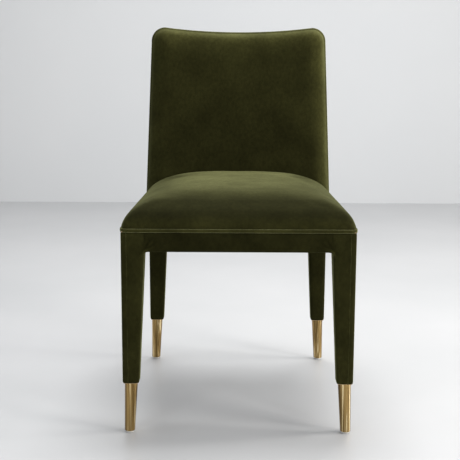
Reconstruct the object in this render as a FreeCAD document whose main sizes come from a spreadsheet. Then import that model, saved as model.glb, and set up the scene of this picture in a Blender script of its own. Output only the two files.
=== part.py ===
"""Upholstered dining chair: hardwood frame, webbed foam seat and back, velvet covers, brass feet.

Millimetres. +Z is up, the chair faces -Y, and +X is the right side as seen from the front.
The origin is on the floor, in the middle of the chair's width and depth.
"""
import FreeCAD, Part
import math
import os

import Sketcher
from FreeCAD import Placement, Rotation, Vector

SIZES = {
    # whole chair
    "overall_depth": 624,
    "overall_height": 884,
    "seat_width": 500,
    "rear_width": 467,
    "frame_depth": 555.5,
    "seam_height": 446,
    "rail_underside": 400,
    "seat_crown_height": 519,
    # legs, ferrules and glides
    "leg_top_width": 50,
    "leg_foot_width": 36,
    "leg_edge_radius": 5,
    "ferrule_top_height": 112,
    "ferrule_top_width": 28.4,
    "ferrule_foot_width": 22.4,
    "ferrule_top_inset": 3.5,
    "ferrule_foot_inset": 2.5,
    "ferrule_wall": 1.2,
    "ferrule_floor": 2,
    "glide_width": 17,
    "glide_height": 4,
    "glide_edge_radius": 1.2,
    "nail_width": 3,
    "nail_head_width": 8,
    "nail_head_height": 1,
    "nail_head_cover": 1.5,
    "nail_length": 28,
    # seat frame and its joints
    "rail_thickness": 22,
    "deck_height": 444,
    "block_thickness": 22,
    "block_height": 34,
    "block_clearance": 3,
    "dowel_width": 9.5,
    "dowel_length": 40,
    "dowel_edge_distance": 12,
    "screw_width": 5,
    "screw_length": 50,
    "screw_head_width": 10,
    "screw_head_height": 3,
    # covers, padding and webbing
    "cover_thickness": 2.5,
    "ridge_proud": 2,
    "ridge_height": 4,
    "wadding_thickness": 6,
    "strap_width": 50,
    "strap_thickness": 1.5,
    "strap_end_distance": 6,
    "staple_width": 10,
    "staple_wire": 1.2,
    "staple_height": 0.6,
    "dust_cover_thickness": 1,
    "dust_cover_inset": 10,
    # back
    "back_base_width": 480.6,
    "back_top_width": 453,
    "back_base_thickness": 64,
    "back_top_thickness": 54,
    "back_bow_base": 2,
    "back_bow_top": 14,
    "crest_dip": 12,
    "crest_corner_radius": 35,
    "post_thickness": 26,
    "post_base_width": 45,
    "post_top_width": 38,
    "board_thickness": 3,
    "rear_padding_thickness": 4,
    "tack_strip_thickness": 1.5,
    "tack_strip_width": 12,
    "crest_rail_height": 76,
    "middle_rail_height": 50,
    "middle_rail_bottom": 630,
    "lower_rail_height": 50,
    "lower_rail_bottom": 470,
    "soft_gap": 0.3,
}

doc = FreeCAD.newDocument("dining_chair")
sheet = doc.addObject("Spreadsheet::Sheet", "Sheet")
for row, (name, size) in enumerate(SIZES.items(), start=1):
    sheet.set(f"A{row}", name)
    sheet.set(f"B{row}", str(size))
    sheet.setAlias(f"B{row}", name)
doc.recompute()

# Places worked out from the sheet, as expressions that any object can be bound to.
FRONT = "(-Sheet.overall_depth / 2 + Sheet.ridge_proud)"
REAR = f"({FRONT} + Sheet.frame_depth)"
HALF_FRONT = "(Sheet.seat_width / 2 - Sheet.ridge_proud)"
HALF_REAR = "(Sheet.rear_width / 2)"
COVER = "Sheet.cover_thickness"
LEG_WOOD = f"(Sheet.leg_top_width - 2 * {COVER})"
LEG_INNER_FRONT = f"({HALF_FRONT} - {COVER} - {LEG_WOOD})"
POST_INNER = f"({HALF_REAR} - {COVER} - Sheet.post_base_width)"
LEG_INNER_REAR = f"({HALF_REAR} - {COVER} - max(Sheet.post_base_width; {LEG_WOOD}))"
LEG_BACK_OF_FRONT = f"({FRONT} + {COVER} + {LEG_WOOD})"
LEG_FRONT_OF_REAR = f"({REAR} - {COVER} - {LEG_WOOD})"
TAPER = f"(({HALF_FRONT} - {HALF_REAR}) / Sheet.frame_depth)"
RAIL_BOTTOM = f"(Sheet.rail_underside + {COVER})"
REAR_LAYERS = f"({COVER} + Sheet.rear_padding_thickness + Sheet.board_thickness)"
FRONT_RAIL_INNER = f"({FRONT} + {COVER} + Sheet.rail_thickness)"
REAR_RAIL_INNER = f"({REAR} - {REAR_LAYERS} - Sheet.post_thickness)"
FOAM_BASE = "(Sheet.deck_height + 2 * Sheet.strap_thickness + Sheet.staple_height)"
SPIGOT_BASE = "(Sheet.glide_height + Sheet.ferrule_floor)"

SIDES = {"left": -1, "right": 1}
X_WARD = Rotation(Vector(0, 1, 0), 90)
Y_WARD = Rotation(Vector(1, 0, 0), -90)
subparts = []


def value(expression):
    """The number that an expression on the sheet gives now."""
    return float(sheet.evalExpression(expression))


def side_face(y, inset="0"):
    """X of the chair's covered side at depth y, moved in by inset, on the right side."""
    return f"({HALF_FRONT} - {TAPER} * ({y} - {FRONT}) - {inset})"


def keep(obj, name):
    """Name an object and list it as a sub-part."""
    obj.Label = name
    subparts.append(obj)
    return obj


# ---------------------------------------------------------------- building helpers

def origin_plane(body, role):
    return next(item for item in body.Origin.OriginFeatures if item.Role == role)


def new_sketch(body, name, role, offset):
    sketch = body.newObject("Sketcher::SketchObject", name)
    sketch.AttachmentSupport = [(origin_plane(body, role), "")]
    sketch.MapMode = "FlatFace"
    sketch.setExpression("AttachmentOffset.Base.z", offset)
    return sketch


def fix_point(sketch, geometry, position, point, at):
    """Hold a sketch point at a pair of expressions."""
    for axis, kind in enumerate(("DistanceX", "DistanceY")):
        index = sketch.addConstraint(Sketcher.Constraint(kind, -1, 1, geometry, position, at[axis]))
        sketch.setExpression(f"Constraints[{index}]", point[axis])


def polygon_sketch(body, name, role, points, offset):
    """A closed outline whose corners are pairs of expressions in the plane's own axes."""
    sketch = new_sketch(body, name, role, offset)
    corners = [Vector(value(across), value(up), 0) for across, up in points]
    count = len(corners)
    for index in range(count):
        line = Part.LineSegment(corners[index], corners[(index + 1) % count])
        sketch.addGeometry(line, False)
    for index in range(count):
        sketch.addConstraint(Sketcher.Constraint("Coincident", index, 2, (index + 1) % count, 1))
    for index in range(count):
        fix_point(sketch, index, 1, points[index], corners[index])
    return sketch


def rounded_sketch(body, name, corner, opposite, radius, offset):
    """A level rectangle with round corners between two opposite corner points."""
    low = []
    high = []
    for first, second in zip(corner, opposite):
        ordered = sorted((first, second), key=value)
        low.append(ordered[0])
        high.append(ordered[1])
    sketch = new_sketch(body, name, "XY_Plane", offset)
    west, south = low
    east, north = high
    stops = [(f"{west} + {radius}", south), (f"{east} - {radius}", south),
             (east, f"{south} + {radius}"), (east, f"{north} - {radius}"),
             (f"{east} - {radius}", north), (f"{west} + {radius}", north),
             (west, f"{north} - {radius}"), (west, f"{south} + {radius}")]
    points = [Vector(value(x), value(y), 0) for x, y in stops]
    bend = value(radius)
    for index in range(0, len(stops), 2):
        sketch.addGeometry(Part.LineSegment(points[index], points[index + 1]), False)
    for index in range(1, len(stops), 2):
        quarter = (index - 1) // 2
        toward = Vector(math.cos(math.pi / 2 * (quarter + 1)), math.sin(math.pi / 2 * (quarter + 1)), 0)
        circle = Part.Circle(points[index] + toward * bend, Vector(0, 0, 1), bend)
        start = math.pi / 2 * (quarter - 1)
        sketch.addGeometry(Part.ArcOfCircle(circle, start, start + math.pi / 2), False)
    for index in range(4):
        sketch.addConstraint(Sketcher.Constraint("Coincident", index, 2, index + 4, 1))
        sketch.addConstraint(Sketcher.Constraint("Coincident", index + 4, 2, (index + 1) % 4, 1))
        fix_point(sketch, index, 1, stops[2 * index], points[2 * index])
        fix_point(sketch, index, 2, stops[2 * index + 1], points[2 * index + 1])
        number = sketch.addConstraint(Sketcher.Constraint("Radius", index + 4, bend))
        sketch.setExpression(f"Constraints[{number}]", radius)
    return sketch


def circle_sketch(body, name, centre, radius, offset):
    """A circle on a level plane, with its centre and radius bound to expressions."""
    sketch = new_sketch(body, name, "XY_Plane", offset)
    middle = Vector(value(centre[0]), value(centre[1]), 0)
    sketch.addGeometry(Part.Circle(middle, Vector(0, 0, 1), value(radius)), False)
    fix_point(sketch, 0, 3, centre, middle)
    index = sketch.addConstraint(Sketcher.Constraint("Radius", 0, value(radius)))
    sketch.setExpression(f"Constraints[{index}]", radius)
    return sketch


def pad(body, sketch, length):
    feature = body.newObject("PartDesign::Pad", f"{sketch.Name}_pad")
    feature.Profile = sketch
    feature.setExpression("Length", length)
    doc.recompute()
    return feature


def loft(body, first, last, cut=False):
    """A straight loft between two sketches, added to the body or cut from it."""
    kind = "PartDesign::SubtractiveLoft" if cut else "PartDesign::AdditiveLoft"
    feature = body.newObject(kind, f"{first.Name}_loft")
    feature.Profile = first
    feature.Sections = [last]
    feature.Ruled = True
    doc.recompute()
    return feature


def drill(body, name, start, rotation, radius, length):
    """Take a round hole out of a body, and make sure that it met wood."""
    before = body.Shape.Volume
    hole = body.newObject("PartDesign::SubtractiveCylinder", name)
    hole.AttachmentSupport = [(origin_plane(body, "XY_Plane"), "")]
    hole.MapMode = "FlatFace"
    hole.AttachmentOffset = Placement(Vector(), rotation)
    for axis, place in zip("xyz", start):
        hole.setExpression(f"AttachmentOffset.Base.{axis}", place)
    hole.setExpression("Radius", radius)
    hole.setExpression("Height", length)
    doc.recompute()
    if body.Shape.Volume >= before:
        raise RuntimeError(f"{body.Label}: {name} removed nothing")
    return hole


def rod(name, start, rotation, radius, length):
    """A loose round bar bound to the sheet."""
    bar = doc.addObject("Part::Cylinder", name)
    bar.Placement = Placement(Vector(), rotation)
    for axis, place in zip("xyz", start):
        bar.setExpression(f"Placement.Base.{axis}", place)
    bar.setExpression("Radius", radius)
    bar.setExpression("Height", length)
    return bar


def brick(name, low, sizes):
    """A box bound to the sheet, by its low corner and its three sizes."""
    box = doc.addObject("Part::Box", name)
    for axis, place in zip("xyz", low):
        box.setExpression(f"Placement.Base.{axis}", place)
    for side, length in zip(("Length", "Width", "Height"), sizes):
        box.setExpression(side, length)
    return box


def group(name, members):
    """Loose pieces of one kind, kept together as one sub-part."""
    compound = doc.addObject("Part::Compound", name)
    compound.Links = members
    return keep(compound, name)


def feature(name, shape):
    """A sub-part whose shape is made by functions that read the sheet."""
    item = doc.addObject("Part::Feature", name)
    item.Shape = shape
    item.Placement = Placement()
    return keep(item, name)


# ---------------------------------------------------------------- legs and feet

class Corner:
    """One corner of the chair: its covered outer corner point and the ways inward."""

    def __init__(self, end, side):
        self.end = end
        self.side = side
        self.name = f"{end}_{side}"
        self.sign = SIDES[side]
        self.inward_y = 1 if end == "front" else -1
        half = HALF_FRONT if end == "front" else HALF_REAR
        self.face_x = f"({self.sign} * {half})"
        self.face_y = FRONT if end == "front" else REAR

    def point(self, across, along):
        """The point that lies this far inside the corner's two outer faces."""
        x = f"({self.face_x} - {self.sign} * ({across}))"
        y = f"({self.face_y} + {self.inward_y} * ({along}))"
        return x, y

    def square(self, inset, width):
        """A square section whose outer faces lie at inset inside the corner."""
        far = f"{inset} + {width}"
        return [self.point(inset, inset), self.point(far, inset),
                self.point(far, far), self.point(inset, far)]

    def ferrule_centre(self, place):
        reach = f"Sheet.ferrule_{place}_inset + Sheet.ferrule_{place}_width / 2"
        return self.point(reach, reach)


CORNERS = [Corner(end, side) for end in ("front", "rear") for side in SIDES]


def ferrule_bore(body, corner, cut):
    """The taper inside a ferrule: cut from the ferrule, or added below a leg as its spigot."""
    kind = "bore" if cut else "spigot"
    foot = circle_sketch(body, f"{corner.name}_{kind}_foot", corner.ferrule_centre("foot"),
                         "Sheet.ferrule_foot_width / 2 - Sheet.ferrule_wall", SPIGOT_BASE)
    top = circle_sketch(body, f"{corner.name}_{kind}_top", corner.ferrule_centre("top"),
                        "Sheet.ferrule_top_width / 2 - Sheet.ferrule_wall", "Sheet.ferrule_top_height")
    return loft(body, foot, top, cut)


def make_leg(corner):
    """A tapered leg with its spigot: square at the seat rails, smaller above the ferrule."""
    body = doc.addObject("PartDesign::Body", f"{corner.end}_leg_{corner.side}_body")
    foot = polygon_sketch(body, f"{corner.name}_foot", "XY_Plane",
                          corner.square(COVER, f"(Sheet.leg_foot_width - 2 * {COVER})"),
                          "Sheet.ferrule_top_height")
    knee = polygon_sketch(body, f"{corner.name}_knee", "XY_Plane", corner.square(COVER, LEG_WOOD),
                          "Sheet.rail_underside")
    loft(body, foot, knee)
    inset_y = COVER if corner.end == "front" else REAR_LAYERS
    far = f"{COVER} + {LEG_WOOD}"
    block = [corner.point(COVER, inset_y), corner.point(far, inset_y), corner.point(far, far),
             corner.point(COVER, far)]
    head = polygon_sketch(body, f"{corner.name}_head", "XY_Plane", block, "Sheet.rail_underside")
    pad(body, head, "Sheet.deck_height - Sheet.rail_underside")
    ferrule_bore(body, corner, cut=False)
    x, y = corner.ferrule_centre("foot")
    drill(body, f"{corner.name}_nail_hole", (x, y, SPIGOT_BASE), Rotation(), "Sheet.nail_width / 2",
          "Sheet.nail_head_cover + Sheet.nail_length - " + SPIGOT_BASE)
    return body


def make_ferrule(corner):
    """A thin tapered brass cup over the spigot, with a nail hole in its floor."""
    body = doc.addObject("PartDesign::Body", f"ferrule_{corner.name}")
    foot = circle_sketch(body, f"{corner.name}_ferrule_foot", corner.ferrule_centre("foot"),
                         "Sheet.ferrule_foot_width / 2", "Sheet.glide_height")
    top = circle_sketch(body, f"{corner.name}_ferrule_top", corner.ferrule_centre("top"),
                        "Sheet.ferrule_top_width / 2", "Sheet.ferrule_top_height")
    loft(body, foot, top)
    ferrule_bore(body, corner, cut=True)
    x, y = corner.ferrule_centre("foot")
    drill(body, f"{corner.name}_ferrule_nail_hole", (x, y, "Sheet.glide_height"), Rotation(),
          "Sheet.nail_width / 2", "Sheet.ferrule_floor")
    return keep(body, f"ferrule_{corner.name}")


def make_glide(corner):
    """A round nylon glide, moulded around the head of its nail."""
    body = doc.addObject("PartDesign::Body", f"glide_{corner.name}")
    x, y = corner.ferrule_centre("foot")
    disc = circle_sketch(body, f"{corner.name}_glide_disc", (x, y), "Sheet.glide_width / 2", "0")
    slab = pad(body, disc, "Sheet.glide_height")
    rim = [f"Edge{number}" for number, edge in enumerate(slab.Shape.Edges, start=1)
           if edge.BoundBox.ZMax < value("Sheet.glide_height") / 2]
    rounding = body.newObject("PartDesign::Fillet", f"{corner.name}_glide_rim")
    rounding.Base = (slab, rim)
    rounding.setExpression("Radius", "Sheet.glide_edge_radius")
    doc.recompute()
    drill(body, f"{corner.name}_head_seat", (x, y, "Sheet.nail_head_cover"), Rotation(),
          "Sheet.nail_head_width / 2", "Sheet.nail_head_height")
    drill(body, f"{corner.name}_shank_seat", (x, y, "Sheet.nail_head_cover"), Rotation(),
          "Sheet.nail_width / 2", "Sheet.glide_height")
    return keep(body, f"glide_{corner.name}")


def make_glide_nail(corner):
    x, y = corner.ferrule_centre("foot")
    start = (x, y, "Sheet.nail_head_cover")
    nail = doc.addObject("Part::Fuse", f"{corner.name}_nail")
    nail.Base = rod(f"{corner.name}_nail_head", start, Rotation(), "Sheet.nail_head_width / 2",
                    "Sheet.nail_head_height")
    nail.Tool = rod(f"{corner.name}_nail_shank", start, Rotation(), "Sheet.nail_width / 2",
                    "Sheet.nail_length")
    return nail


def make_leg_cover(corner):
    """A velvet sleeve around the tapered leg; in front it also wraps the leg's head."""
    body = doc.addObject("PartDesign::Body", f"leg_cover_{corner.name}")
    sections = []
    for place, width, height in (("foot", "Sheet.leg_foot_width", "Sheet.ferrule_top_height"),
                                 ("knee", "Sheet.leg_top_width", "Sheet.rail_underside")):
        sections.append(rounded_sketch(body, f"{corner.name}_sleeve_{place}", corner.point("0", "0"),
                                       corner.point(width, width), "Sheet.leg_edge_radius", height))
    loft(body, *sections)
    inner_foot = polygon_sketch(body, f"{corner.name}_lining_foot", "XY_Plane",
                                corner.square(COVER, f"(Sheet.leg_foot_width - 2 * {COVER})"),
                                "Sheet.ferrule_top_height")
    inner_knee = polygon_sketch(body, f"{corner.name}_lining_knee", "XY_Plane",
                                corner.square(COVER, LEG_WOOD), "Sheet.rail_underside")
    loft(body, inner_foot, inner_knee, cut=True)
    if corner.end == "front":
        far = f"{COVER} + {LEG_WOOD}"
        wrap = [corner.point("0", "0"), corner.point(far, "0"), corner.point(far, COVER),
                corner.point(COVER, COVER), corner.point(COVER, far), corner.point("0", far)]
        outline = polygon_sketch(body, f"{corner.name}_wrap", "XY_Plane", wrap, "Sheet.rail_underside")
        pad(body, outline, "Sheet.seam_height - Sheet.ridge_height / 2 - Sheet.rail_underside")
    return keep(body, f"leg_cover_{corner.name}")


# ---------------------------------------------------------------- fasteners and seat rails

def make_dowel(name, middle, rotation):
    """A dowel centred on a joint, along X or along Y."""
    x, y, z = middle
    half = " - Sheet.dowel_length / 2"
    start = (x + half, y, z) if rotation is X_WARD else (x, y + half, z)
    return rod(name, start, rotation, "Sheet.dowel_width / 2", "Sheet.dowel_length")


def make_corner_dowels(corner):
    """The four dowels of a corner: two into the cross rail, two into the side rail."""
    middle = "Sheet.rail_thickness / 2"
    if corner.end == "front":
        cross = (f"{corner.sign} * {LEG_INNER_FRONT}", f"{FRONT} + {COVER} + {middle}")
        joint_y = LEG_BACK_OF_FRONT
    else:
        cross = (f"{corner.sign} * {LEG_INNER_REAR}", f"{REAR_RAIL_INNER} + Sheet.post_thickness / 2")
        joint_y = LEG_FRONT_OF_REAR
    along = (f"{corner.sign} * ({side_face(joint_y, COVER)} - {middle})", joint_y)
    heights = {"low": f"{RAIL_BOTTOM} + Sheet.dowel_edge_distance",
               "high": "Sheet.deck_height - Sheet.dowel_edge_distance"}
    cross_pair = [make_dowel(f"{corner.name}_cross_{place}_dowel", (*cross, height), X_WARD)
                  for place, height in heights.items()]
    side_pair = [make_dowel(f"{corner.name}_side_{place}_dowel", (*along, height), Y_WARD)
                 for place, height in heights.items()]
    return cross_pair, side_pair


def bored(name, base, fasteners):
    """A piece of the frame with a hole for each dowel or screw that goes into it."""
    holes = doc.addObject("Part::Compound", f"{name}_holes")
    holes.Links = fasteners
    piece = doc.addObject("Part::Cut", name)
    piece.Base = base
    piece.Tool = holes
    doc.recompute()
    if piece.Shape.Volume >= base.Shape.Volume:
        raise RuntimeError(f"{name}: its fasteners do not reach it")
    return keep(piece, name)


def make_front_rail():
    body = doc.addObject("PartDesign::Body", "front_rail_body")
    near = f"{FRONT} + {COVER}"
    outline = [(f"-{LEG_INNER_FRONT}", near), (LEG_INNER_FRONT, near), (LEG_INNER_FRONT, FRONT_RAIL_INNER),
               (f"-{LEG_INNER_FRONT}", FRONT_RAIL_INNER)]
    pad(body, polygon_sketch(body, "front_rail_outline", "XY_Plane", outline, RAIL_BOTTOM),
        f"Sheet.deck_height - {RAIL_BOTTOM}")
    return body


def side_strip(side, near, far, outer, inner):
    """A strip along the tapering side, between two depths and two insets from the covered side."""
    sign = SIDES[side]
    return [(f"{sign} * {side_face(near, outer)}", near), (f"{sign} * {side_face(far, outer)}", far),
            (f"{sign} * {side_face(far, inner)}", far), (f"{sign} * {side_face(near, inner)}", near)]


def make_side_rail(side):
    body = doc.addObject("PartDesign::Body", f"{side}_rail_body")
    outline = side_strip(side, LEG_BACK_OF_FRONT, LEG_FRONT_OF_REAR, COVER,
                         f"({COVER} + Sheet.rail_thickness)")
    pad(body, polygon_sketch(body, f"{side}_rail_outline", "XY_Plane", outline, RAIL_BOTTOM),
        f"Sheet.deck_height - {RAIL_BOTTOM}")
    return body


class BlockLayout:
    """A brace set at 45 degrees across a corner, clear of the leg, between the two rails."""

    def __init__(self, corner):
        front = corner.end == "front"
        self.corner = corner
        self.leg_x = LEG_INNER_FRONT if front else LEG_INNER_REAR
        self.leg_y = LEG_BACK_OF_FRONT if front else LEG_FRONT_OF_REAR
        self.rail_y = FRONT_RAIL_INNER if front else REAR_RAIL_INNER
        reach = f"({corner.inward_y} * ({self.leg_y} - {self.rail_y}) + Sheet.block_clearance)"
        self.near_x = f"({self.leg_x} - {reach})"
        self.far_x = f"({self.near_x} - Sheet.block_thickness * sqrt(2))"
        heading = math.degrees(math.atan2(-corner.inward_y, corner.sign))
        self.rotation = Rotation(Vector(0, 0, 1), heading) * X_WARD
        self.height = f"({RAIL_BOTTOM} + (Sheet.deck_height - {RAIL_BOTTOM}) / 2)"

    def on_side_rail(self, x):
        """Where the 45 degree line that leaves the cross rail at x meets the side rail."""
        inward = self.corner.inward_y
        side_at_zero = f"({side_face('0', COVER)} - Sheet.rail_thickness)"
        y = f"(({self.rail_y} + {inward} * ({side_at_zero} - {x})) / (1 + {inward} * {TAPER}))"
        return f"{self.corner.sign} * ({side_face(y, COVER)} - Sheet.rail_thickness)", y

    def outline(self):
        sign = self.corner.sign
        return [(f"{sign} * {self.near_x}", self.rail_y), self.on_side_rail(self.near_x),
                self.on_side_rail(self.far_x), (f"{sign} * {self.far_x}", self.rail_y)]

    def screw_start(self, back_off="0"):
        """A point of the brace's inner face, in line with the leg's corner, moved back a little."""
        way = f"((Sheet.block_thickness + Sheet.block_clearance / sqrt(2) + {back_off}) / sqrt(2))"
        x = f"{self.corner.sign} * ({self.leg_x} - {way})"
        y = f"{self.leg_y} + {self.corner.inward_y} * {way}"
        return x, y, self.height


def make_block(corner):
    layout = BlockLayout(corner)
    body = doc.addObject("PartDesign::Body", f"{corner.name}_block_body")
    outline = polygon_sketch(body, f"{corner.name}_block_outline", "XY_Plane", layout.outline(),
                             f"{layout.height} - Sheet.block_height / 2")
    pad(body, outline, "Sheet.block_height")
    return body


def make_block_screw(corner):
    """A round-headed screw that pulls the leg into the brace."""
    layout = BlockLayout(corner)
    screw = doc.addObject("Part::Fuse", f"{corner.name}_screw")
    screw.Base = rod(f"{corner.name}_screw_shank", layout.screw_start(), layout.rotation,
                     "Sheet.screw_width / 2", "Sheet.screw_length")
    screw.Tool = rod(f"{corner.name}_screw_head", layout.screw_start("Sheet.screw_head_height"),
                     layout.rotation, "Sheet.screw_head_width / 2", "Sheet.screw_head_height")
    return screw


# ---------------------------------------------------------------- the back's curved layers

BOW_OVERRUN = 10        # how far past the back's edges the bow's arc is drawn


def back_share(height):
    """How far up the back a height lies: 0 at the seam and below, 1 at the top corners."""
    seam = value("Sheet.seam_height")
    return max(0.0, (height - seam) / (value("Sheet.overall_height") - seam))


def between(base, top, height):
    """A size that changes evenly from its base value at the seam to its top value."""
    return value(base) + (value(top) - value(base)) * back_share(height)


def bow(height):
    """How far the back's middle lies behind its edges at this height."""
    return between("Sheet.back_bow_base", "Sheet.back_bow_top", height)


def back_thickness(height):
    return between("Sheet.back_base_thickness", "Sheet.back_top_thickness", height)


def back_half_width(height, inset):
    return between("Sheet.back_base_width", "Sheet.back_top_width", height) / 2 - inset


def rear_face_y(height):
    """Y of the covered rear face at the back's edges: its crest's middle ends the chair's depth."""
    crest = value("Sheet.overall_height") - value("Sheet.crest_dip")
    reach = value("Sheet.overall_depth") / 2 - value(REAR) - bow(crest)
    return value(REAR) + reach * back_share(height) / back_share(crest)


def layer(front, rear):
    """A curved, leaning sheet between two depths, each measured in from the rear face.

    A depth is a number, or a function of height for layers that follow the front face.
    """
    half = value("Sheet.back_base_width") / 2 + BOW_OVERRUN
    sections = []
    top = value("Sheet.overall_height")
    for height in (value("Sheet.rail_underside"), value("Sheet.seam_height"), top):
        near = rear_face_y(height) - (front(height) if callable(front) else front)
        far = rear_face_y(height) - (rear(height) if callable(rear) else rear)
        hollow = bow(height)
        front_arc = Part.Arc(Vector(-half, near, height), Vector(0, near + hollow, height),
                             Vector(half, near, height)).toShape()
        right = Part.makeLine(Vector(half, near, height), Vector(half, far, height))
        rear_arc = Part.Arc(Vector(half, far, height), Vector(0, far + hollow, height),
                            Vector(-half, far, height)).toShape()
        left = Part.makeLine(Vector(-half, far, height), Vector(-half, near, height))
        sections.append(Part.Wire([front_arc, right, rear_arc, left]))
    return Part.makeLoft(sections, True, True)


def from_front(inset):
    """Depth of a layer that lies this far behind the front face."""
    return lambda height: back_thickness(height) - inset


def prism(points_or_wire):
    """An outline in the X-Z plane, pushed right through the chair's depth."""
    reach = value("Sheet.overall_depth")
    wire = points_or_wire
    if not isinstance(wire, Part.Wire):
        corners = [Vector(x, -reach, z) for x, z in points_or_wire]
        wire = Part.makePolygon(corners + corners[:1])
    return Part.Face(wire).extrude(Vector(0, 2 * reach, 0))


def profile(inset, bottom):
    """The back seen from the front, moved in by inset: tapering sides, round corners, dipped crest."""
    reach = value("Sheet.overall_depth")
    seam = value("Sheet.seam_height")
    top = value("Sheet.overall_height") - inset
    radius = value("Sheet.crest_corner_radius") - inset
    half_top = back_half_width(top - radius, inset)
    elbow = radius * (1 - math.sqrt(0.5))
    start = max(bottom, seam)
    half_start = back_half_width(start, inset)

    def at(x, z):
        return Vector(x, -reach, z)

    right_corner = Part.Arc(at(half_top, top - radius), at(half_top - elbow, top - elbow),
                            at(half_top - radius, top)).toShape()
    crest = Part.Arc(at(half_top - radius, top), at(0, top - value("Sheet.crest_dip")),
                     at(radius - half_top, top)).toShape()
    left_corner = Part.Arc(at(radius - half_top, top), at(elbow - half_top, top - elbow),
                           at(-half_top, top - radius)).toShape()
    corners = [at(-half_top, top - radius), at(-half_start, start)]
    if bottom < seam:
        half_rear = value(HALF_REAR) - inset
        corners += [at(-half_rear, start), at(-half_rear, bottom),
                    at(half_rear, bottom), at(half_rear, start)]
    corners += [at(half_start, start), at(half_top, top - radius)]
    lines = []
    for first, second in zip(corners, corners[1:]):
        if (first - second).Length > 1e-6:
            lines.append(Part.makeLine(first, second))
    return prism(Part.Wire([right_corner, crest, left_corner] + lines))


def band(bottom, top, low_half, high_half):
    """A block, narrower or wider at its top, centred on the chair, seen from the front."""
    return prism([(-low_half, bottom), (low_half, bottom), (high_half, top), (-high_half, top)])


def stripe(x, bottom, top, width):
    near, far = x - width / 2, x + width / 2
    return prism([(near, bottom), (far, bottom), (far, top), (near, top)])


def wood_layer():
    rear = value(REAR_LAYERS)
    return layer(rear + value("Sheet.post_thickness"), rear)


def soft_side():
    """Cover and wadding over the frame's edges."""
    return value(COVER) + value("Sheet.wadding_thickness")


def crest_bottom():
    return value("Sheet.overall_height") - value("Sheet.crest_rail_height") - soft_side()


def post_inner_half(height):
    """Half of the clear width between the two posts."""
    low = value("Sheet.rail_underside")
    base = value(POST_INNER)
    top = back_half_width(crest_bottom(), soft_side()) - value("Sheet.post_top_width")
    return base + (top - base) * (height - low) / (crest_bottom() - low)


def rail_between_posts(bottom, height):
    """A rail cut to meet the posts, or a leg's head where that reaches further in."""
    top = bottom + height
    limit = value(LEG_INNER_REAR) if bottom < value("Sheet.deck_height") else math.inf
    clear = band(bottom, top, min(post_inner_half(bottom), limit), min(post_inner_half(top), limit))
    return wood_layer().common(clear)


def wood_middle_y(height, x):
    """Y of the middle of the wood layer at a place across the back."""
    half = value("Sheet.back_base_width") / 2 + BOW_OVERRUN
    hollow = bow(height)
    radius = (half * half + hollow * hollow) / (2 * hollow)
    behind = math.sqrt(radius * radius - x * x) - (radius - hollow)
    return rear_face_y(height) - value(REAR_LAYERS) - value("Sheet.post_thickness") / 2 + behind


def back_dowel_shapes():
    """Level dowels at the lower and middle rails, and upright ones under the crest rail."""
    radius = value("Sheet.dowel_width") / 2
    length = value("Sheet.dowel_length")
    edge = value("Sheet.dowel_edge_distance")
    shapes = []
    for rail in ("lower", "middle"):
        bottom = value(f"Sheet.{rail}_rail_bottom")
        height = value(f"Sheet.{rail}_rail_height")
        for z in (bottom + edge, bottom + height - edge):
            for sign in SIDES.values():
                x = sign * post_inner_half(z)
                start = Vector(x - length / 2, wood_middle_y(z, x), z)
                shapes.append(Part.makeCylinder(radius, length, start, Vector(1, 0, 0)))
    bottom = crest_bottom()
    inner = post_inner_half(bottom)
    for sign in SIDES.values():
        for x in (inner + edge, inner + value("Sheet.post_top_width") - edge):
            low = Vector(sign * x, wood_middle_y(bottom - length / 2, x), bottom - length / 2)
            high = Vector(sign * x, wood_middle_y(bottom + length / 2, x), bottom + length / 2)
            shapes.append(Part.makeCylinder(radius, length, low, high - low))
    return shapes


def make_post(corner):
    """The curved upper part of a rear leg."""
    low = value("Sheet.rail_underside")
    high = crest_bottom()
    sign = corner.sign
    outer_low = value(HALF_REAR) - value(COVER)
    outline = [(sign * post_inner_half(low), low), (sign * post_inner_half(high), high),
               (sign * back_half_width(high, soft_side()), high),
               (sign * outer_low, value("Sheet.seam_height")), (sign * outer_low, low)]
    post = doc.addObject("Part::Feature", f"{corner.name}_post")
    post.Shape = wood_layer().common(prism(outline))
    post.Placement = Placement()
    return post


def make_rear_leg_blank(corner):
    """A rear leg and its back post are one piece of wood, bored later for its fasteners."""
    blank = doc.addObject("Part::Fuse", f"{corner.name}_leg_blank")
    blank.Base = make_leg(corner)
    blank.Tool = make_post(corner)
    return blank


def wood_blank(name, shape):
    """A curved rail before its dowel holes are bored."""
    item = doc.addObject("Part::Feature", name)
    item.Shape = shape
    item.Placement = Placement()
    return item


def crest_shape():
    """The crest rail sits on the posts, sawn to the curve of the crest and its round corners."""
    side = soft_side()
    return wood_layer().common(profile(side, crest_bottom()))


# ---------------------------------------------------------------- seat padding and covers

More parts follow.
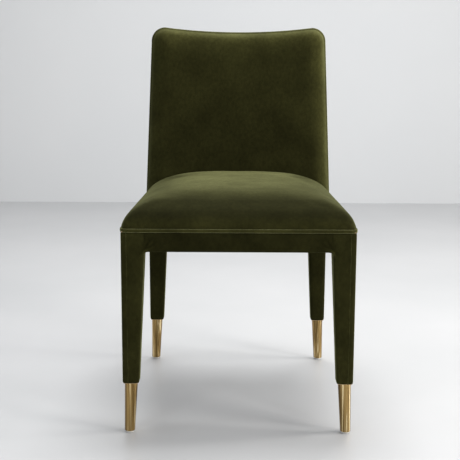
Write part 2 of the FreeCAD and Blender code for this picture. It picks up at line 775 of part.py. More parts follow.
def seat_outline(inset, share, height, rear_gap):
    """One level of the seat's crown: round front corners, straight sides, bowed rear edge."""
    radius = value("Sheet.leg_edge_radius")
    centre_y = value(FRONT) + value("Sheet.frame_depth") * SEAT_CENTRE_SHARE
    front_y = centre_y - (centre_y - value(FRONT) - inset) * share
    rear_y = rear_face_y(height) - back_thickness(height) - rear_gap
    front_x = (value(HALF_FRONT) - inset) * share
    rear_x = (value(side_face(str(rear_y))) - inset) * share
    hollow = bow(height)
    slant = math.atan2(front_x - rear_x, rear_y - front_y)
    elbow = radius * (1 - math.sqrt(0.5))

    def at(x, y):
        return Vector(x, y, height)

    side_x = front_x - radius * math.tan(slant)
    edges = [Part.makeLine(at(radius - front_x, front_y), at(front_x - radius, front_y)),
             Part.Arc(at(front_x - radius, front_y), at(front_x - elbow, front_y + elbow),
                      at(side_x, front_y + radius)).toShape(),
             Part.makeLine(at(side_x, front_y + radius), at(rear_x, rear_y)),
             Part.Arc(at(rear_x, rear_y), at(0, rear_y + hollow), at(-rear_x, rear_y)).toShape(),
             Part.makeLine(at(-rear_x, rear_y), at(-side_x, front_y + radius)),
             Part.Arc(at(-side_x, front_y + radius), at(elbow - front_x, front_y + elbow),
                      at(radius - front_x, front_y)).toShape()]
    return Part.Wire(edges)


SEAT_CENTRE_SHARE = 0.62        # the crown's highest line, as a share of the frame's depth
CROWN_LEVELS = (0, 0.3, 0.55, 0.75, 0.9, 1)
CROWN_FLATNESS = 2.3            # power of the crown's rise
CROWN_SQUARENESS = 3            # power of its plan, from edge to middle
CROWN_PLATEAU = 0.3             # share of the seat's width that the flat middle takes


def crown(inset, rear_gap):
    """A closed crowned form from the seam up to the seat's crown, moved in by inset all round."""
    seam = value("Sheet.seam_height")
    rise = value("Sheet.seat_crown_height") - inset - seam
    sections = []
    for level in CROWN_LEVELS:
        share = max(CROWN_PLATEAU, (1 - level ** CROWN_FLATNESS) ** (1 / CROWN_SQUARENESS))
        sections.append(seat_outline(inset, share, seam + rise * level, rear_gap))
    return Part.makeLoft(sections, True, True)


def slab_between(low, high):
    """Everything between two heights."""
    reach = value("Sheet.overall_depth")
    return Part.makeBox(2 * reach, 2 * reach, high - low, Vector(-reach, -reach, low))


def make_seat_padding():
    """Foam on the webbing, polyester wadding over it, and the velvet top panel."""
    foam_base = value(FOAM_BASE)
    top = value("Sheet.overall_height")
    cover = value(COVER)
    gap = value("Sheet.soft_gap")
    past = -gap
    soft = soft_side()
    above_deck = slab_between(foam_base, top)
    feature("seat_cover_top", crown(0, gap).cut(crown(cover, past)))
    feature("seat_wadding", crown(cover, gap).cut(crown(soft, past)).common(above_deck))
    feature("seat_foam", crown(soft, gap).common(above_deck))


def make_seat_seam():
    """The raised seam between the top panel and the band below it, round the front and the sides."""
    low = value("Sheet.seam_height") - value("Sheet.ridge_height") / 2
    height = value("Sheet.ridge_height")
    proud = value("Sheet.ridge_proud")
    end = value(REAR) - value("Sheet.back_base_thickness") - value("Sheet.soft_gap")
    reach = value("Sheet.overall_depth")
    outer, inner = [Part.Face(seat_outline(inset, 1, low, 0)).extrude(Vector(0, 0, height))
                    for inset in (-proud, 0)]
    behind = Part.makeBox(2 * reach, reach, 4 * height, Vector(-reach, end, low - height))
    feature("seat_seam", outer.cut(inner).cut(behind))


def make_webbing():
    """Elastic straps on the seat rails: the crosswise ones lie on the lengthwise ones."""
    edge = "Sheet.strap_end_distance"
    near = f"({FRONT} + {COVER} + {edge})"
    far = f"({REAR} - {REAR_LAYERS} - {edge})"
    lengthwise = []
    for index in (-1, 0, 1):
        low_x = f"{index} * 2 * Sheet.strap_width - Sheet.strap_width / 2"
        lengthwise.append(brick(f"lengthwise_strap_{index + 2}", (low_x, near, "Sheet.deck_height"),
                                ("Sheet.strap_width", f"{far} - {near}", "Sheet.strap_thickness")))
    group("seat_webbing_lengthwise", lengthwise)
    crosswise = []
    level = "Sheet.deck_height + Sheet.strap_thickness"
    for index in (-1, 0, 1):
        low_y = f"(({near} + {far}) / 2 + {index} * 2 * Sheet.strap_width - Sheet.strap_width / 2)"
        half = f"({side_face(f'({low_y} + Sheet.strap_width)', COVER)} - {edge})"
        crosswise.append(brick(f"crosswise_strap_{index + 2}", (f"-{half}", low_y, level),
                               (f"2 * {half}", "Sheet.strap_width", "Sheet.strap_thickness")))
    group("seat_webbing_crosswise", crosswise)
    make_webbing_staples(near, far, level)


STAPLES_PER_STRAP = (0.2, 0.5, 0.8)      # places across a strap, as shares of its width


def make_webbing_staples(near, far, level):
    """Staple crowns across each strap's ends."""
    staples = []
    inset = "Sheet.rail_thickness / 4"
    for index in (-1, 0, 1):
        for share in STAPLES_PER_STRAP:
            x = (f"{index} * 2 * Sheet.strap_width"
                 f" + ({share} - 0.5) * Sheet.strap_width - Sheet.staple_width / 2")
            for place, y in (("near", f"{near} + {inset}"), ("far", f"{far} - {inset}")):
                staples.append(brick(f"strap_staple_{place}", (x, y, level),
                                     ("Sheet.staple_width", "Sheet.staple_wire", "Sheet.staple_height")))
            low_y = (f"(({near} + {far}) / 2 + {index} * 2 * Sheet.strap_width"
                     f" + ({share} - 0.5) * Sheet.strap_width - Sheet.staple_width / 2)")
            edge = f"({side_face(low_y, COVER)} - Sheet.strap_end_distance - {inset} - Sheet.staple_wire)"
            top = f"{level} + Sheet.strap_thickness"
            for place, x_low in (("left", f"-{edge} - Sheet.staple_wire"), ("right", edge)):
                staples.append(brick(f"strap_staple_{place}", (x_low, low_y, top),
                                     ("Sheet.staple_wire", "Sheet.staple_width", "Sheet.staple_height")))
    group("webbing_staples", staples)


def side_wall(side, near, far):
    """The side band's section, which passes outside the rear leg whichever way the sides taper."""
    sign = SIDES[side]
    outer = [(side_face(near), near)]
    outer += [(f"max({side_face(y)}; {HALF_REAR})", y) for y in (LEG_FRONT_OF_REAR, far)]
    wall = outer + [(f"({x} - {COVER})", y) for x, y in reversed(outer)]
    return [(f"{sign} * {x}", y) for x, y in wall]


def make_apron_covers():
    """Velvet bands on the front and side rails, folded under the rails."""
    seam_bottom = "(Sheet.seam_height - Sheet.ridge_height / 2)"
    body = doc.addObject("PartDesign::Body", "apron_cover_front")
    bend = f"{FRONT} + {COVER}"
    section = [(FRONT, "Sheet.rail_underside"), (FRONT_RAIL_INNER, "Sheet.rail_underside"),
               (FRONT_RAIL_INNER, RAIL_BOTTOM), (bend, RAIL_BOTTOM),
               (bend, seam_bottom), (FRONT, seam_bottom)]
    pad(body, polygon_sketch(body, "front_band_section", "YZ_Plane", section, f"-{LEG_INNER_FRONT}"),
        f"2 * {LEG_INNER_FRONT}")
    keep(body, "apron_cover_front")
    for side in SIDES:
        body = doc.addObject("PartDesign::Body", f"apron_cover_{side}")
        wall = side_wall(side, LEG_BACK_OF_FRONT, f"({REAR} - {COVER})")
        pad(body, polygon_sketch(body, f"{side}_band_wall", "XY_Plane", wall, "Sheet.rail_underside"),
            f"{seam_bottom} - Sheet.rail_underside")
        strip = side_strip(side, LEG_BACK_OF_FRONT, LEG_FRONT_OF_REAR, "0",
                           f"({COVER} + Sheet.rail_thickness)")
        fold = polygon_sketch(body, f"{side}_band_fold", "XY_Plane", strip, "Sheet.rail_underside")
        pad(body, fold, COVER)
        keep(body, f"apron_cover_{side}")


def make_dust_cover():
    """A thin black sheet stapled under the rails, notched around the four legs."""
    inset = "Sheet.dust_cover_inset"
    notch = "(Sheet.leg_top_width + 1)"
    half_front = f"({HALF_FRONT} - {notch})"
    half_rear = f"({HALF_REAR} - {notch})"
    near = f"({FRONT} + {inset})"
    far = f"({REAR} - {inset})"
    near_notch = f"({FRONT} + {notch})"
    far_notch = f"({REAR} - {notch})"
    side_near = side_face(near_notch, inset)
    side_far = side_face(far_notch, inset)
    right = [(half_front, near), (half_front, near_notch), (side_near, near_notch), (side_far, far_notch),
             (half_rear, far_notch), (half_rear, far)]
    left = [(f"-{x}", y) for x, y in reversed(right)]
    body = doc.addObject("PartDesign::Body", "dust_cover")
    outline = polygon_sketch(body, "dust_cover_outline", "XY_Plane", right + left,
                             "Sheet.rail_underside - Sheet.dust_cover_thickness")
    pad(body, outline, "Sheet.dust_cover_thickness")
    keep(body, "dust_cover")
    make_dust_cover_staples(near, far, near_notch, far_notch)


STAPLES_PER_EDGE = 7


def make_dust_cover_staples(near, far, near_notch, far_notch):
    level = "Sheet.rail_underside - Sheet.dust_cover_thickness - Sheet.staple_height"
    inset = "Sheet.rail_thickness / 4"
    staples = []
    for index in range(STAPLES_PER_EDGE):
        share = (index + 0.5) / STAPLES_PER_EDGE
        for place, edge, half in (("front", f"{near} + {inset}", LEG_INNER_FRONT),
                                  ("rear", f"{far} - {inset} - Sheet.staple_wire", LEG_INNER_REAR)):
            x = f"({2 * share - 1}) * ({half} - Sheet.staple_width) - Sheet.staple_width / 2"
            staples.append(brick(f"{place}_staple", (x, edge, level),
                                 ("Sheet.staple_width", "Sheet.staple_wire", "Sheet.staple_height")))
        y = f"({near_notch} + {share} * ({far_notch} - {near_notch}) - Sheet.staple_width / 2)"
        x = f"({side_face(y, 'Sheet.dust_cover_inset')} - {inset} - Sheet.staple_wire)"
        for place, x_low in (("left", f"-{x} - Sheet.staple_wire"), ("right", x)):
            staples.append(brick(f"{place}_staple", (x_low, y, level),
                                 ("Sheet.staple_wire", "Sheet.staple_width", "Sheet.staple_height")))
    group("dust_cover_staples", staples)


# ---------------------------------------------------------------- back padding and covers

BACK_STRAPS = (-1.5, -0.5, 0.5, 1.5)
BACK_STRAP_PITCH = 1.8                   # strap spacing, in strap widths


def make_back_webbing(staple_front):
    """Upright straps on the front of the three back rails, stapled at both ends."""
    wood_front = value(REAR_LAYERS) + value("Sheet.post_thickness")
    strap_front = wood_front + value("Sheet.strap_thickness")
    width = value("Sheet.strap_width")
    edge = value("Sheet.strap_end_distance")
    low = value("Sheet.lower_rail_bottom") + edge
    high = value("Sheet.overall_height") - value("Sheet.crest_dip") - soft_side() - edge
    web = layer(strap_front, wood_front)
    crowns = layer(staple_front, strap_front)
    straps = []
    staples = []
    for place in BACK_STRAPS:
        x = place * BACK_STRAP_PITCH * width
        straps.append(web.common(stripe(x, low, high, width)))
        for share in STAPLES_PER_STRAP:
            across = x + (share - 0.5) * width
            for z in (low + edge, high - edge):
                wire = value("Sheet.staple_wire")
                staples.append(crowns.common(stripe(across, z, z + wire, value("Sheet.staple_width"))))
    feature("back_webbing", Part.makeCompound(straps))
    feature("back_webbing_staples", Part.makeCompound(staples))


def make_back_padding():
    """The back's layers, from the webbing forwards and from the posts backwards."""
    cover = value(COVER)
    wadding = value("Sheet.wadding_thickness")
    board = value("Sheet.board_thickness")
    padding = value("Sheet.rear_padding_thickness")
    top = value("Sheet.overall_height")
    low = value(RAIL_BOTTOM)
    base = value(FOAM_BASE)
    rear_wood = value(REAR_LAYERS)
    soft = soft_side()
    staple_front = (rear_wood + value("Sheet.post_thickness") + value("Sheet.strap_thickness")
                    + value("Sheet.staple_height"))
    make_back_webbing(staple_front)
    above = slab_between(base, top)
    feature("back_foam", layer(from_front(soft), staple_front).common(profile(soft, base)).common(above))
    wadding_outer = layer(from_front(cover), rear_wood).common(profile(cover, base))
    wadding_inner = layer(from_front(soft), 0).common(profile(soft, base))
    feature("back_wadding", wadding_outer.cut(wadding_inner).common(above))
    cover_outer = layer(from_front(0), cover).common(profile(0, base))
    cover_inner = layer(from_front(cover), 0).common(profile(cover, base))
    feature("back_cover_front", cover_outer.cut(cover_inner).common(above))
    feature("back_board", layer(rear_wood, rear_wood - board).common(profile(cover, low)))
    strip = value("Sheet.tack_strip_width")
    strip_area = profile(cover, base).cut(profile(cover + strip, base - strip)).common(
        band(base, top - 2 * value("Sheet.crest_corner_radius"), top, top))
    padding_sheet = layer(rear_wood - board, rear_wood - board - padding).common(profile(cover, low))
    strips = layer(cover + value("Sheet.tack_strip_thickness"), cover).common(strip_area)
    feature("rear_padding", padding_sheet.cut(layer(cover + padding, cover).common(strip_area)))
    feature("tack_strips", strips)
    half = value(LEG_INNER_REAR)
    inner = value(REAR_RAIL_INNER)
    hem = value("Sheet.rail_underside")
    fold = Part.makeBox(2 * half, value(REAR) - inner, cover, Vector(-half, inner, hem))
    feature("back_cover_rear", layer(cover, 0).common(profile(0, hem)).fuse(fold))


# ---------------------------------------------------------------- assembly

def build():
    cross = {}
    along = {}
    screws = {}
    for corner in CORNERS:
        cross[corner.name], along[corner.name] = make_corner_dowels(corner)
        screws[corner.name] = make_block_screw(corner)
    back_dowels = feature("back_rail_dowels", Part.makeCompound(back_dowel_shapes()))
    all_dowels = [dowel for pairs in (cross, along) for pair in pairs.values() for dowel in pair]
    group("seat_rail_dowels", all_dowels)
    group("corner_block_screws", list(screws.values()))

    for corner in CORNERS:
        fasteners = cross[corner.name] + along[corner.name] + [screws[corner.name]]
        if corner.end == "front":
            blank = make_leg(corner)
        else:
            blank = make_rear_leg_blank(corner)
            fasteners.append(back_dowels)
        doc.recompute()
        bored(f"{corner.end}_leg_{corner.side}", blank, fasteners)
        bored(f"corner_block_{corner.name}", make_block(corner), [screws[corner.name]])
        make_ferrule(corner)
        make_glide(corner)
        make_leg_cover(corner)
    group("glide_nails", [make_glide_nail(corner) for corner in CORNERS])

    bored("seat_rail_front", make_front_rail(), cross["front_left"] + cross["front_right"])
    for side in SIDES:
        bored(f"seat_rail_{side}", make_side_rail(side), along[f"front_{side}"] + along[f"rear_{side}"])
    rear_rail = wood_blank("rear_rail_blank", rail_between_posts(value(RAIL_BOTTOM),
                             value("Sheet.deck_height") - value(RAIL_BOTTOM)))
    bored("seat_rail_rear", rear_rail, cross["rear_left"] + cross["rear_right"])
    for rail in ("lower", "middle"):
        blank = wood_blank(f"{rail}_rail_blank", rail_between_posts(value(f"Sheet.{rail}_rail_bottom"),
                             value(f"Sheet.{rail}_rail_height")))
        bored(f"back_rail_{rail}", blank, [back_dowels])
    bored("back_rail_crest", wood_blank("crest_rail_blank", crest_shape()), [back_dowels])

    make_webbing()
    make_seat_padding()
    make_seat_seam()
    make_apron_covers()
    make_dust_cover()
    make_back_padding()


def check_and_export():
    """Stop on any failed object or bad shape, then write one STEP file for each sub-part."""
    doc.recompute()
    for item in doc.Objects:
        if any(word in item.State for word in ("Invalid", "Error")):
            raise RuntimeError(f"{item.Label} failed: {item.State}")
    for item in subparts:
        if item.Shape.isNull() or not item.Shape.isValid() or not item.Shape.Solids:
            raise RuntimeError(f"{item.Label} has no valid solid")
    os.makedirs("parts", exist_ok=True)
    for item in subparts:
        item.Shape.exportStep(f"parts/{item.Label}.step")
    bounds = FreeCAD.BoundBox()
    for item in subparts:
        bounds.add(item.Shape.BoundBox)
    size = f"{bounds.XLength:.1f} x {bounds.YLength:.1f} x {bounds.ZLength:.1f} mm"
    print(f"{len(subparts)} sub-parts, {size},"
          f" front {bounds.YMin:.2f}, rear {bounds.YMax:.2f}, base {bounds.ZMin:.2f}")


build()
check_and_export()
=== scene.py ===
"""Looks of an upholstered dining chair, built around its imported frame. All lengths are in metres."""

import logging
import math
from dataclasses import dataclass, field
from enum import Enum
from typing import Callable

import bpy
import numpy as np
from mathutils import Matrix, Vector, noise


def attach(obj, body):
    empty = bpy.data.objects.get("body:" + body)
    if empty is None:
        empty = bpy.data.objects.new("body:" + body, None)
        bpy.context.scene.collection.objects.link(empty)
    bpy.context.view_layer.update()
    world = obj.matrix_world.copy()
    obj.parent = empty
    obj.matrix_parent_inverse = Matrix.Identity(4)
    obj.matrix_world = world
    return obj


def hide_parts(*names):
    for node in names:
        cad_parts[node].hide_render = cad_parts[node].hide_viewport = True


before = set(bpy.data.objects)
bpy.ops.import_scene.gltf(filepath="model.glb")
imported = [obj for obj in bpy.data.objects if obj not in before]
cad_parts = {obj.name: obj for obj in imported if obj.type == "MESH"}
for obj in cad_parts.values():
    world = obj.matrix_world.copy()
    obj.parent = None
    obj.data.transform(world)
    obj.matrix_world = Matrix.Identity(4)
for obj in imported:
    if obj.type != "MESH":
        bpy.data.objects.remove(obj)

log = logging.getLogger("dining_chair")

Place = Callable[[float, float], tuple]
Colour = tuple[float, float, float]


# ---------------------------------------------------------------- the chair's sizes


@dataclass(frozen=True)
class ChairSizes:
    """Main sizes of the frame that every soft piece fits to."""

    front: float = -0.310
    rear: float = 0.2455
    half_front: float = 0.248
    half_rear: float = 0.2335
    underside: float = 0.400
    deck: float = 0.444
    seam: float = 0.446
    padding_base: float = 0.4478
    crown: float = 0.519
    top: float = 0.884
    leg_top: float = 0.050
    leg_foot: float = 0.036
    ferrule_top: float = 0.112
    cover: float = 0.0025
    rail: float = 0.022
    back_base_half: float = 0.2403
    back_top_half: float = 0.2265
    back_base_thick: float = 0.064
    back_top_thick: float = 0.054
    bow_base: float = 0.002
    bow_top: float = 0.014
    bow_reach: float = 0.2503
    lean: float = 0.0543
    crest_dip: float = 0.012
    corner_radius: float = 0.035

    def side(self, y: float) -> float:
        """Half width of the covered seat frame at a depth.

        Args:
            y: the depth.

        Returns:
            The half width there.
        """
        share = (y - self.front) / (self.rear - self.front)
        return self.half_front + (self.half_rear - self.half_front) * share

    def up_the_back(self, z: float) -> float:
        """How far up the back a height lies.

        Args:
            z: the height.

        Returns:
            0 at the seam and below it, 1 at the top.
        """
        return max(0.0, (z - self.seam) / (self.top - self.seam))

    def back_half(self, z: float) -> float:
        """Half width of the back at a height.

        Args:
            z: the height.

        Returns:
            The half width there.
        """
        return self.back_base_half + (self.back_top_half - self.back_base_half) * self.up_the_back(z)

    def back_thickness(self, z: float) -> float:
        """Thickness of the back at a height.

        Args:
            z: the height.

        Returns:
            The thickness there.
        """
        return self.back_base_thick + (self.back_top_thick - self.back_base_thick) * self.up_the_back(z)

    def rear_face(self, x: float, z: float) -> float:
        """Depth of the back's rear face, which leans and is bowed backwards in its middle.

        Args:
            x: the place across the back.
            z: the height.

        Returns:
            The depth of the face there.
        """
        share = self.up_the_back(z)
        hollow = self.bow_base + (self.bow_top - self.bow_base) * share
        radius = (self.bow_reach**2 + hollow**2) / (2 * hollow)
        behind = math.sqrt(max(0.0, radius**2 - x**2)) - (radius - hollow)
        return self.rear + self.lean * share + behind

    def front_face(self, x: float, z: float) -> float:
        """Depth of the back's front face.

        Args:
            x: the place across the back.
            z: the height.

        Returns:
            The depth of the face there.
        """
        return self.rear_face(x, z) - self.back_thickness(z)


SIZES = ChairSizes()


def ease(share: float) -> float:
    """A smooth step.

    Args:
        share: any number.

    Returns:
        0 below 0, 1 above 1, and a smooth rise between them.
    """
    share = min(1.0, max(0.0, share))
    return share * share * (3 - 2 * share)


def quarter_turn(steps: int) -> list[tuple[float, float]]:
    """Even steps over a quarter turn.

    Args:
        steps: how many steps.

    Returns:
        The sine and the cosine at each step, both ends included.
    """
    angles = [step / steps * math.pi / 2 for step in range(steps + 1)]
    return [(math.sin(angle), math.cos(angle)) for angle in angles]


# ---------------------------------------------------------------- modelling helpers


class Shape:
    """Operator-based modelling steps that every piece shares."""

    @staticmethod
    def only(item: bpy.types.Object) -> None:
        """Makes one object the only selected and active one.

        Args:
            item: the object.
        """
        bpy.ops.object.select_all(action="DESELECT")
        item.select_set(True)
        bpy.context.view_layer.objects.active = item

    @staticmethod
    def name(item: bpy.types.Object, name: str) -> bpy.types.Object:
        """Names an object and its mesh.

        Args:
            item: the object.
            name: the name.

        Returns:
            The same object.
        """
        item.name = name
        item.data.name = name
        return item

    @classmethod
    def tidy(cls, item: bpy.types.Object) -> None:
        """Merges doubled points and turns every face outwards.

        Args:
            item: a mesh object.
        """
        cls.only(item)
        bpy.ops.object.mode_set(mode="EDIT")
        bpy.ops.mesh.select_all(action="SELECT")
        bpy.ops.mesh.remove_doubles(threshold=1e-6)
        bpy.ops.mesh.normals_make_consistent(inside=False)
        bpy.ops.object.mode_set(mode="OBJECT")

    @classmethod
    def sheet(cls, name: str, columns: int, rows: int, place: Place) -> bpy.types.Object:
        """A grid whose points are moved onto a surface.

        Args:
            name: the object's name.
            columns: faces across.
            rows: faces up.
            place: gives the point for two shares from 0 to 1.

        Returns:
            The new object.
        """
        bpy.ops.object.select_all(action="DESELECT")
        bpy.ops.mesh.primitive_grid_add(x_subdivisions=columns, y_subdivisions=rows, size=2)
        item = cls.name(bpy.context.active_object, name)
        for vertex in item.data.vertices:
            vertex.co = place((vertex.co.x + 1) / 2, (vertex.co.y + 1) / 2)
        cls.tidy(item)
        return item

    @classmethod
    def cap(cls, item: bpy.types.Object) -> None:
        """Closes a tube's open ends and turns every face outwards.

        Args:
            item: a mesh object.
        """
        cls.only(item)
        bpy.ops.object.mode_set(mode="EDIT")
        bpy.ops.mesh.select_all(action="SELECT")
        bpy.ops.mesh.fill_holes(sides=0)
        bpy.ops.mesh.normals_make_consistent(inside=False)
        bpy.ops.object.mode_set(mode="OBJECT")

    @classmethod
    def block(cls, name: str, cuts: int, place: Callable[[float, float, float], tuple]) -> bpy.types.Object:
        """A subdivided cube whose points are moved into a closed form.

        Args:
            name: the object's name.
            cuts: cuts along each edge.
            place: gives the point for three shares from -1 to 1.

        Returns:
            The new object.
        """
        bpy.ops.object.select_all(action="DESELECT")
        bpy.ops.mesh.primitive_cube_add(size=2)
        item = cls.name(bpy.context.active_object, name)
        if cuts:
            bpy.ops.object.mode_set(mode="EDIT")
            bpy.ops.mesh.select_all(action="SELECT")
            bpy.ops.mesh.subdivide(number_cuts=cuts)
            bpy.ops.object.mode_set(mode="OBJECT")
        for vertex in item.data.vertices:
            vertex.co = place(*vertex.co)
        return item

    @classmethod
    def join(cls, name: str, items: list[bpy.types.Object]) -> bpy.types.Object:
        """Joins objects into one.

        Args:
            name: the joined object's name.
            items: the objects.

        Returns:
            The joined object.
        """
        cls.only(items[0])
        for item in items:
            item.select_set(True)
        bpy.ops.object.join()
        return cls.name(bpy.context.active_object, name)

    @classmethod
    def modify(cls, item: bpy.types.Object, kind: str, **settings: object) -> None:
        """Adds a modifier and applies it at once.

        Args:
            item: a mesh object.
            kind: the modifier's type.
            settings: its settings by name.
        """
        cls.only(item)
        modifier = item.modifiers.new(kind.lower(), kind)
        for key, setting in settings.items():
            setattr(modifier, key, setting)
        bpy.ops.object.modifier_apply(modifier=modifier.name)

    @classmethod
    def remesh(cls, item: bpy.types.Object, voxel: float, smoothing: int) -> None:
        """Fuses a closed form into even faces and relaxes them.

        Args:
            item: a closed mesh object.
            voxel: the size of a face.
            smoothing: how many times the points are relaxed.
        """
        cls.modify(item, "REMESH", mode="VOXEL", voxel_size=voxel)
        cls.modify(item, "SMOOTH", factor=0.5, iterations=smoothing)

    @classmethod
    def drop_faces(cls, item: bpy.types.Object, unwanted: Callable[[Vector, Vector], bool]) -> None:
        """Deletes the faces that a test picks out.

        Args:
            item: a mesh object.
            unwanted: tells from a face's centre and normal whether it goes.
        """
        cls.only(item)
        bpy.ops.object.mode_set(mode="EDIT")
        bpy.ops.mesh.select_mode(type="FACE")
        bpy.ops.mesh.select_all(action="DESELECT")
        bpy.ops.object.mode_set(mode="OBJECT")
        for polygon in item.data.polygons:
            polygon.select = unwanted(polygon.center, polygon.normal)
        bpy.ops.object.mode_set(mode="EDIT")
        bpy.ops.mesh.delete(type="FACE")
        bpy.ops.object.mode_set(mode="OBJECT")

    @classmethod
    def swell(
        cls,
        item: bpy.types.Object,
        pinned: Callable[[Vector], bool],
        pressure: float,
        cap: float,
        relaxing: int = 10,
    ) -> None:
        """Lets a pad's cloth settle under the pressure of its filling.

        Args:
            item: a closed mesh object.
            pinned: tells whether the point at a place is held.
            pressure: the cloth's inner pressure.
            cap: the furthest that a point may move.
            relaxing: how many times the points are relaxed afterwards.
        """
        mesh = item.data
        start = np.empty(len(mesh.vertices) * 3)
        mesh.vertices.foreach_get("co", start)
        start = start.reshape(-1, 3)
        held = item.vertex_groups.new(name="held")
        held.add([v.index for v in mesh.vertices if pinned(v.co)], 1.0, "REPLACE")
        cls.only(item)
        modifier = item.modifiers.new("cloth", "CLOTH")
        cloth = modifier.settings
        cloth.vertex_group_mass = "held"
        cloth.use_pressure = True
        cloth.uniform_pressure_force = pressure
        cloth.effector_weights.gravity = 0
        cloth.quality = 5
        cloth.mass = 0.3
        cloth.tension_stiffness = cloth.compression_stiffness = 15
        cloth.bending_stiffness = 0.5
        scene = bpy.context.scene
        for step in range(1, 21):
            scene.frame_set(step)
        bpy.ops.object.modifier_apply(modifier=modifier.name)
        scene.frame_set(1)
        end = np.empty(len(mesh.vertices) * 3)
        item.data.vertices.foreach_get("co", end)
        move = end.reshape(-1, 3) - start
        length = np.linalg.norm(move, axis=1, keepdims=True)
        log.info("%s: the cloth moved up to %.1f mm", item.name, length.max() * 1000)
        limit = cap * np.tanh(length / cap) / np.maximum(length, 1e-9)
        item.data.vertices.foreach_set("co", (start + move * limit).ravel())
        item.data.update()
        item.vertex_groups.clear()
        cls.modify(item, "SMOOTH", factor=0.5, iterations=relaxing)

    @classmethod
    def paint_nap_and_light(cls, item: bpy.types.Object, nap_and_painted_light: Callable[[Vector], float]) -> None:
        """Writes the nap attribute at each point, which holds painted light and shade as well as the nap's
        own wander: above 0 it is a painted highlight, below 0 painted shade.

        Args:
            item: a mesh object.
            nap_and_painted_light: gives the attribute's value at a place, painted light and shade included.
        """
        nap = item.data.attributes.new("nap", "FLOAT", "POINT")
        for vertex, mark in zip(item.data.vertices, nap.data):
            mark.value = nap_and_painted_light(vertex.co)

    @classmethod
    def soften(cls, item: bpy.types.Object) -> None:
        """Shades a piece smoothly.

        Args:
            item: a mesh object.
        """
        cls.only(item)
        bpy.ops.object.shade_smooth()


# ---------------------------------------------------------------- finishes


class Nodes:
    """A material's node tree with short ways to add and join nodes."""

    def __init__(self, name: str) -> None:
        """Starts a material with a principled shader.

        Args:
            name: the material's name.
        """
        self.material = bpy.data.materials.new(f"{name}_finish")
        self.material.use_nodes = True
        self.tree = self.material.node_tree
        self.shader = self.tree.nodes["Principled BSDF"]
        self.place = self.add("ShaderNodeTexCoord").outputs["Object"]

    def add(self, kind: str, **settings: object) -> bpy.types.Node:
        """Adds a node.

        Args:
            kind: the node's type.
            settings: its properties by name.

        Returns:
            The node.
        """
        node = self.tree.nodes.new(kind)
        for key, setting in settings.items():
            setattr(node, key, setting)
        return node

    def link(self, source: bpy.types.NodeSocket, target: bpy.types.NodeSocket) -> None:
        """Joins two sockets.

        Args:
            source: an output.
            target: an input.
        """
        self.tree.links.new(source, target)

    def constant(self, **values: object) -> None:
        """Sets constants on the shader's own sockets.

        Args:
            values: values by socket name, with _ for a space.
        """
        for key, value in values.items():
            self.shader.inputs[key.replace("_", " ")].default_value = value

    def noise(
        self, scale: float, detail: float = 3.0, stretch: tuple = (1.0, 1.0, 1.0)
    ) -> bpy.types.NodeSocket:
        """A noise on the object's own coordinates.

        Args:
            scale: its scale.
            detail: its detail.
            stretch: the pattern's scale along X, Y and Z.

        Returns:
            The noise's factor.
        """
        mapping = self.add("ShaderNodeMapping")
        mapping.inputs["Scale"].default_value = stretch
        self.link(self.place, mapping.inputs["Vector"])
        node = self.add("ShaderNodeTexNoise")
        node.inputs["Scale"].default_value = scale
        node.inputs["Detail"].default_value = detail
        self.link(mapping.outputs["Vector"], node.inputs["Vector"])
        return node.outputs["Fac"]

    def ramp(self, source: bpy.types.NodeSocket, stops: list[tuple[float, Colour]]) -> bpy.types.NodeSocket:
        """Colours by a factor.

        Args:
            source: the factor.
            stops: places from 0 to 1 with their colours.

        Returns:
            The colour.
        """
        node = self.add("ShaderNodeValToRGB")
        band = node.color_ramp
        while len(band.elements) < len(stops):
            band.elements.new(0.5)
        for element, (position, colour) in zip(band.elements, stops):
            element.position = position
            element.color = (*colour, 1.0)
        self.link(source, node.inputs["Fac"])
        return node.outputs["Color"]

    def math(self, operation: str, first: bpy.types.NodeSocket, second: object) -> bpy.types.NodeSocket:
        """A sum, product or the like.

        Args:
            operation: the operation's name.
            first: the first value.
            second: a socket or a number.

        Returns:
            The result.
        """
        node = self.add("ShaderNodeMath", operation=operation)
        self.link(first, node.inputs[0])
        if isinstance(second, bpy.types.NodeSocket):
            self.link(second, node.inputs[1])
        else:
            node.inputs[1].default_value = second
        return node.outputs["Value"]

    def spread(self, factor: bpy.types.NodeSocket, gain: float, base: float) -> bpy.types.NodeSocket:
        """A factor times a gain, plus a base.

        Args:
            factor: the factor.
            gain: what it is multiplied by.
            base: what is added.

        Returns:
            The result.
        """
        return self.math("ADD", self.math("MULTIPLY", factor, gain), base)

    def bump(self, height: bpy.types.NodeSocket, strength: float, distance: float) -> None:
        """Gives the shader a fine relief.

        Args:
            height: the relief.
            strength: its strength.
            distance: its depth.
        """
        node = self.add("ShaderNodeBump")
        node.inputs["Strength"].default_value = strength
        node.inputs["Distance"].default_value = distance
        self.link(height, node.inputs["Height"])
        self.link(node.outputs["Normal"], self.shader.inputs["Normal"])

    def colour(self, source: bpy.types.NodeSocket) -> None:
        """Sets the shader's colour.

        Args:
            source: the colour.
        """
        self.link(source, self.shader.inputs["Base Color"])


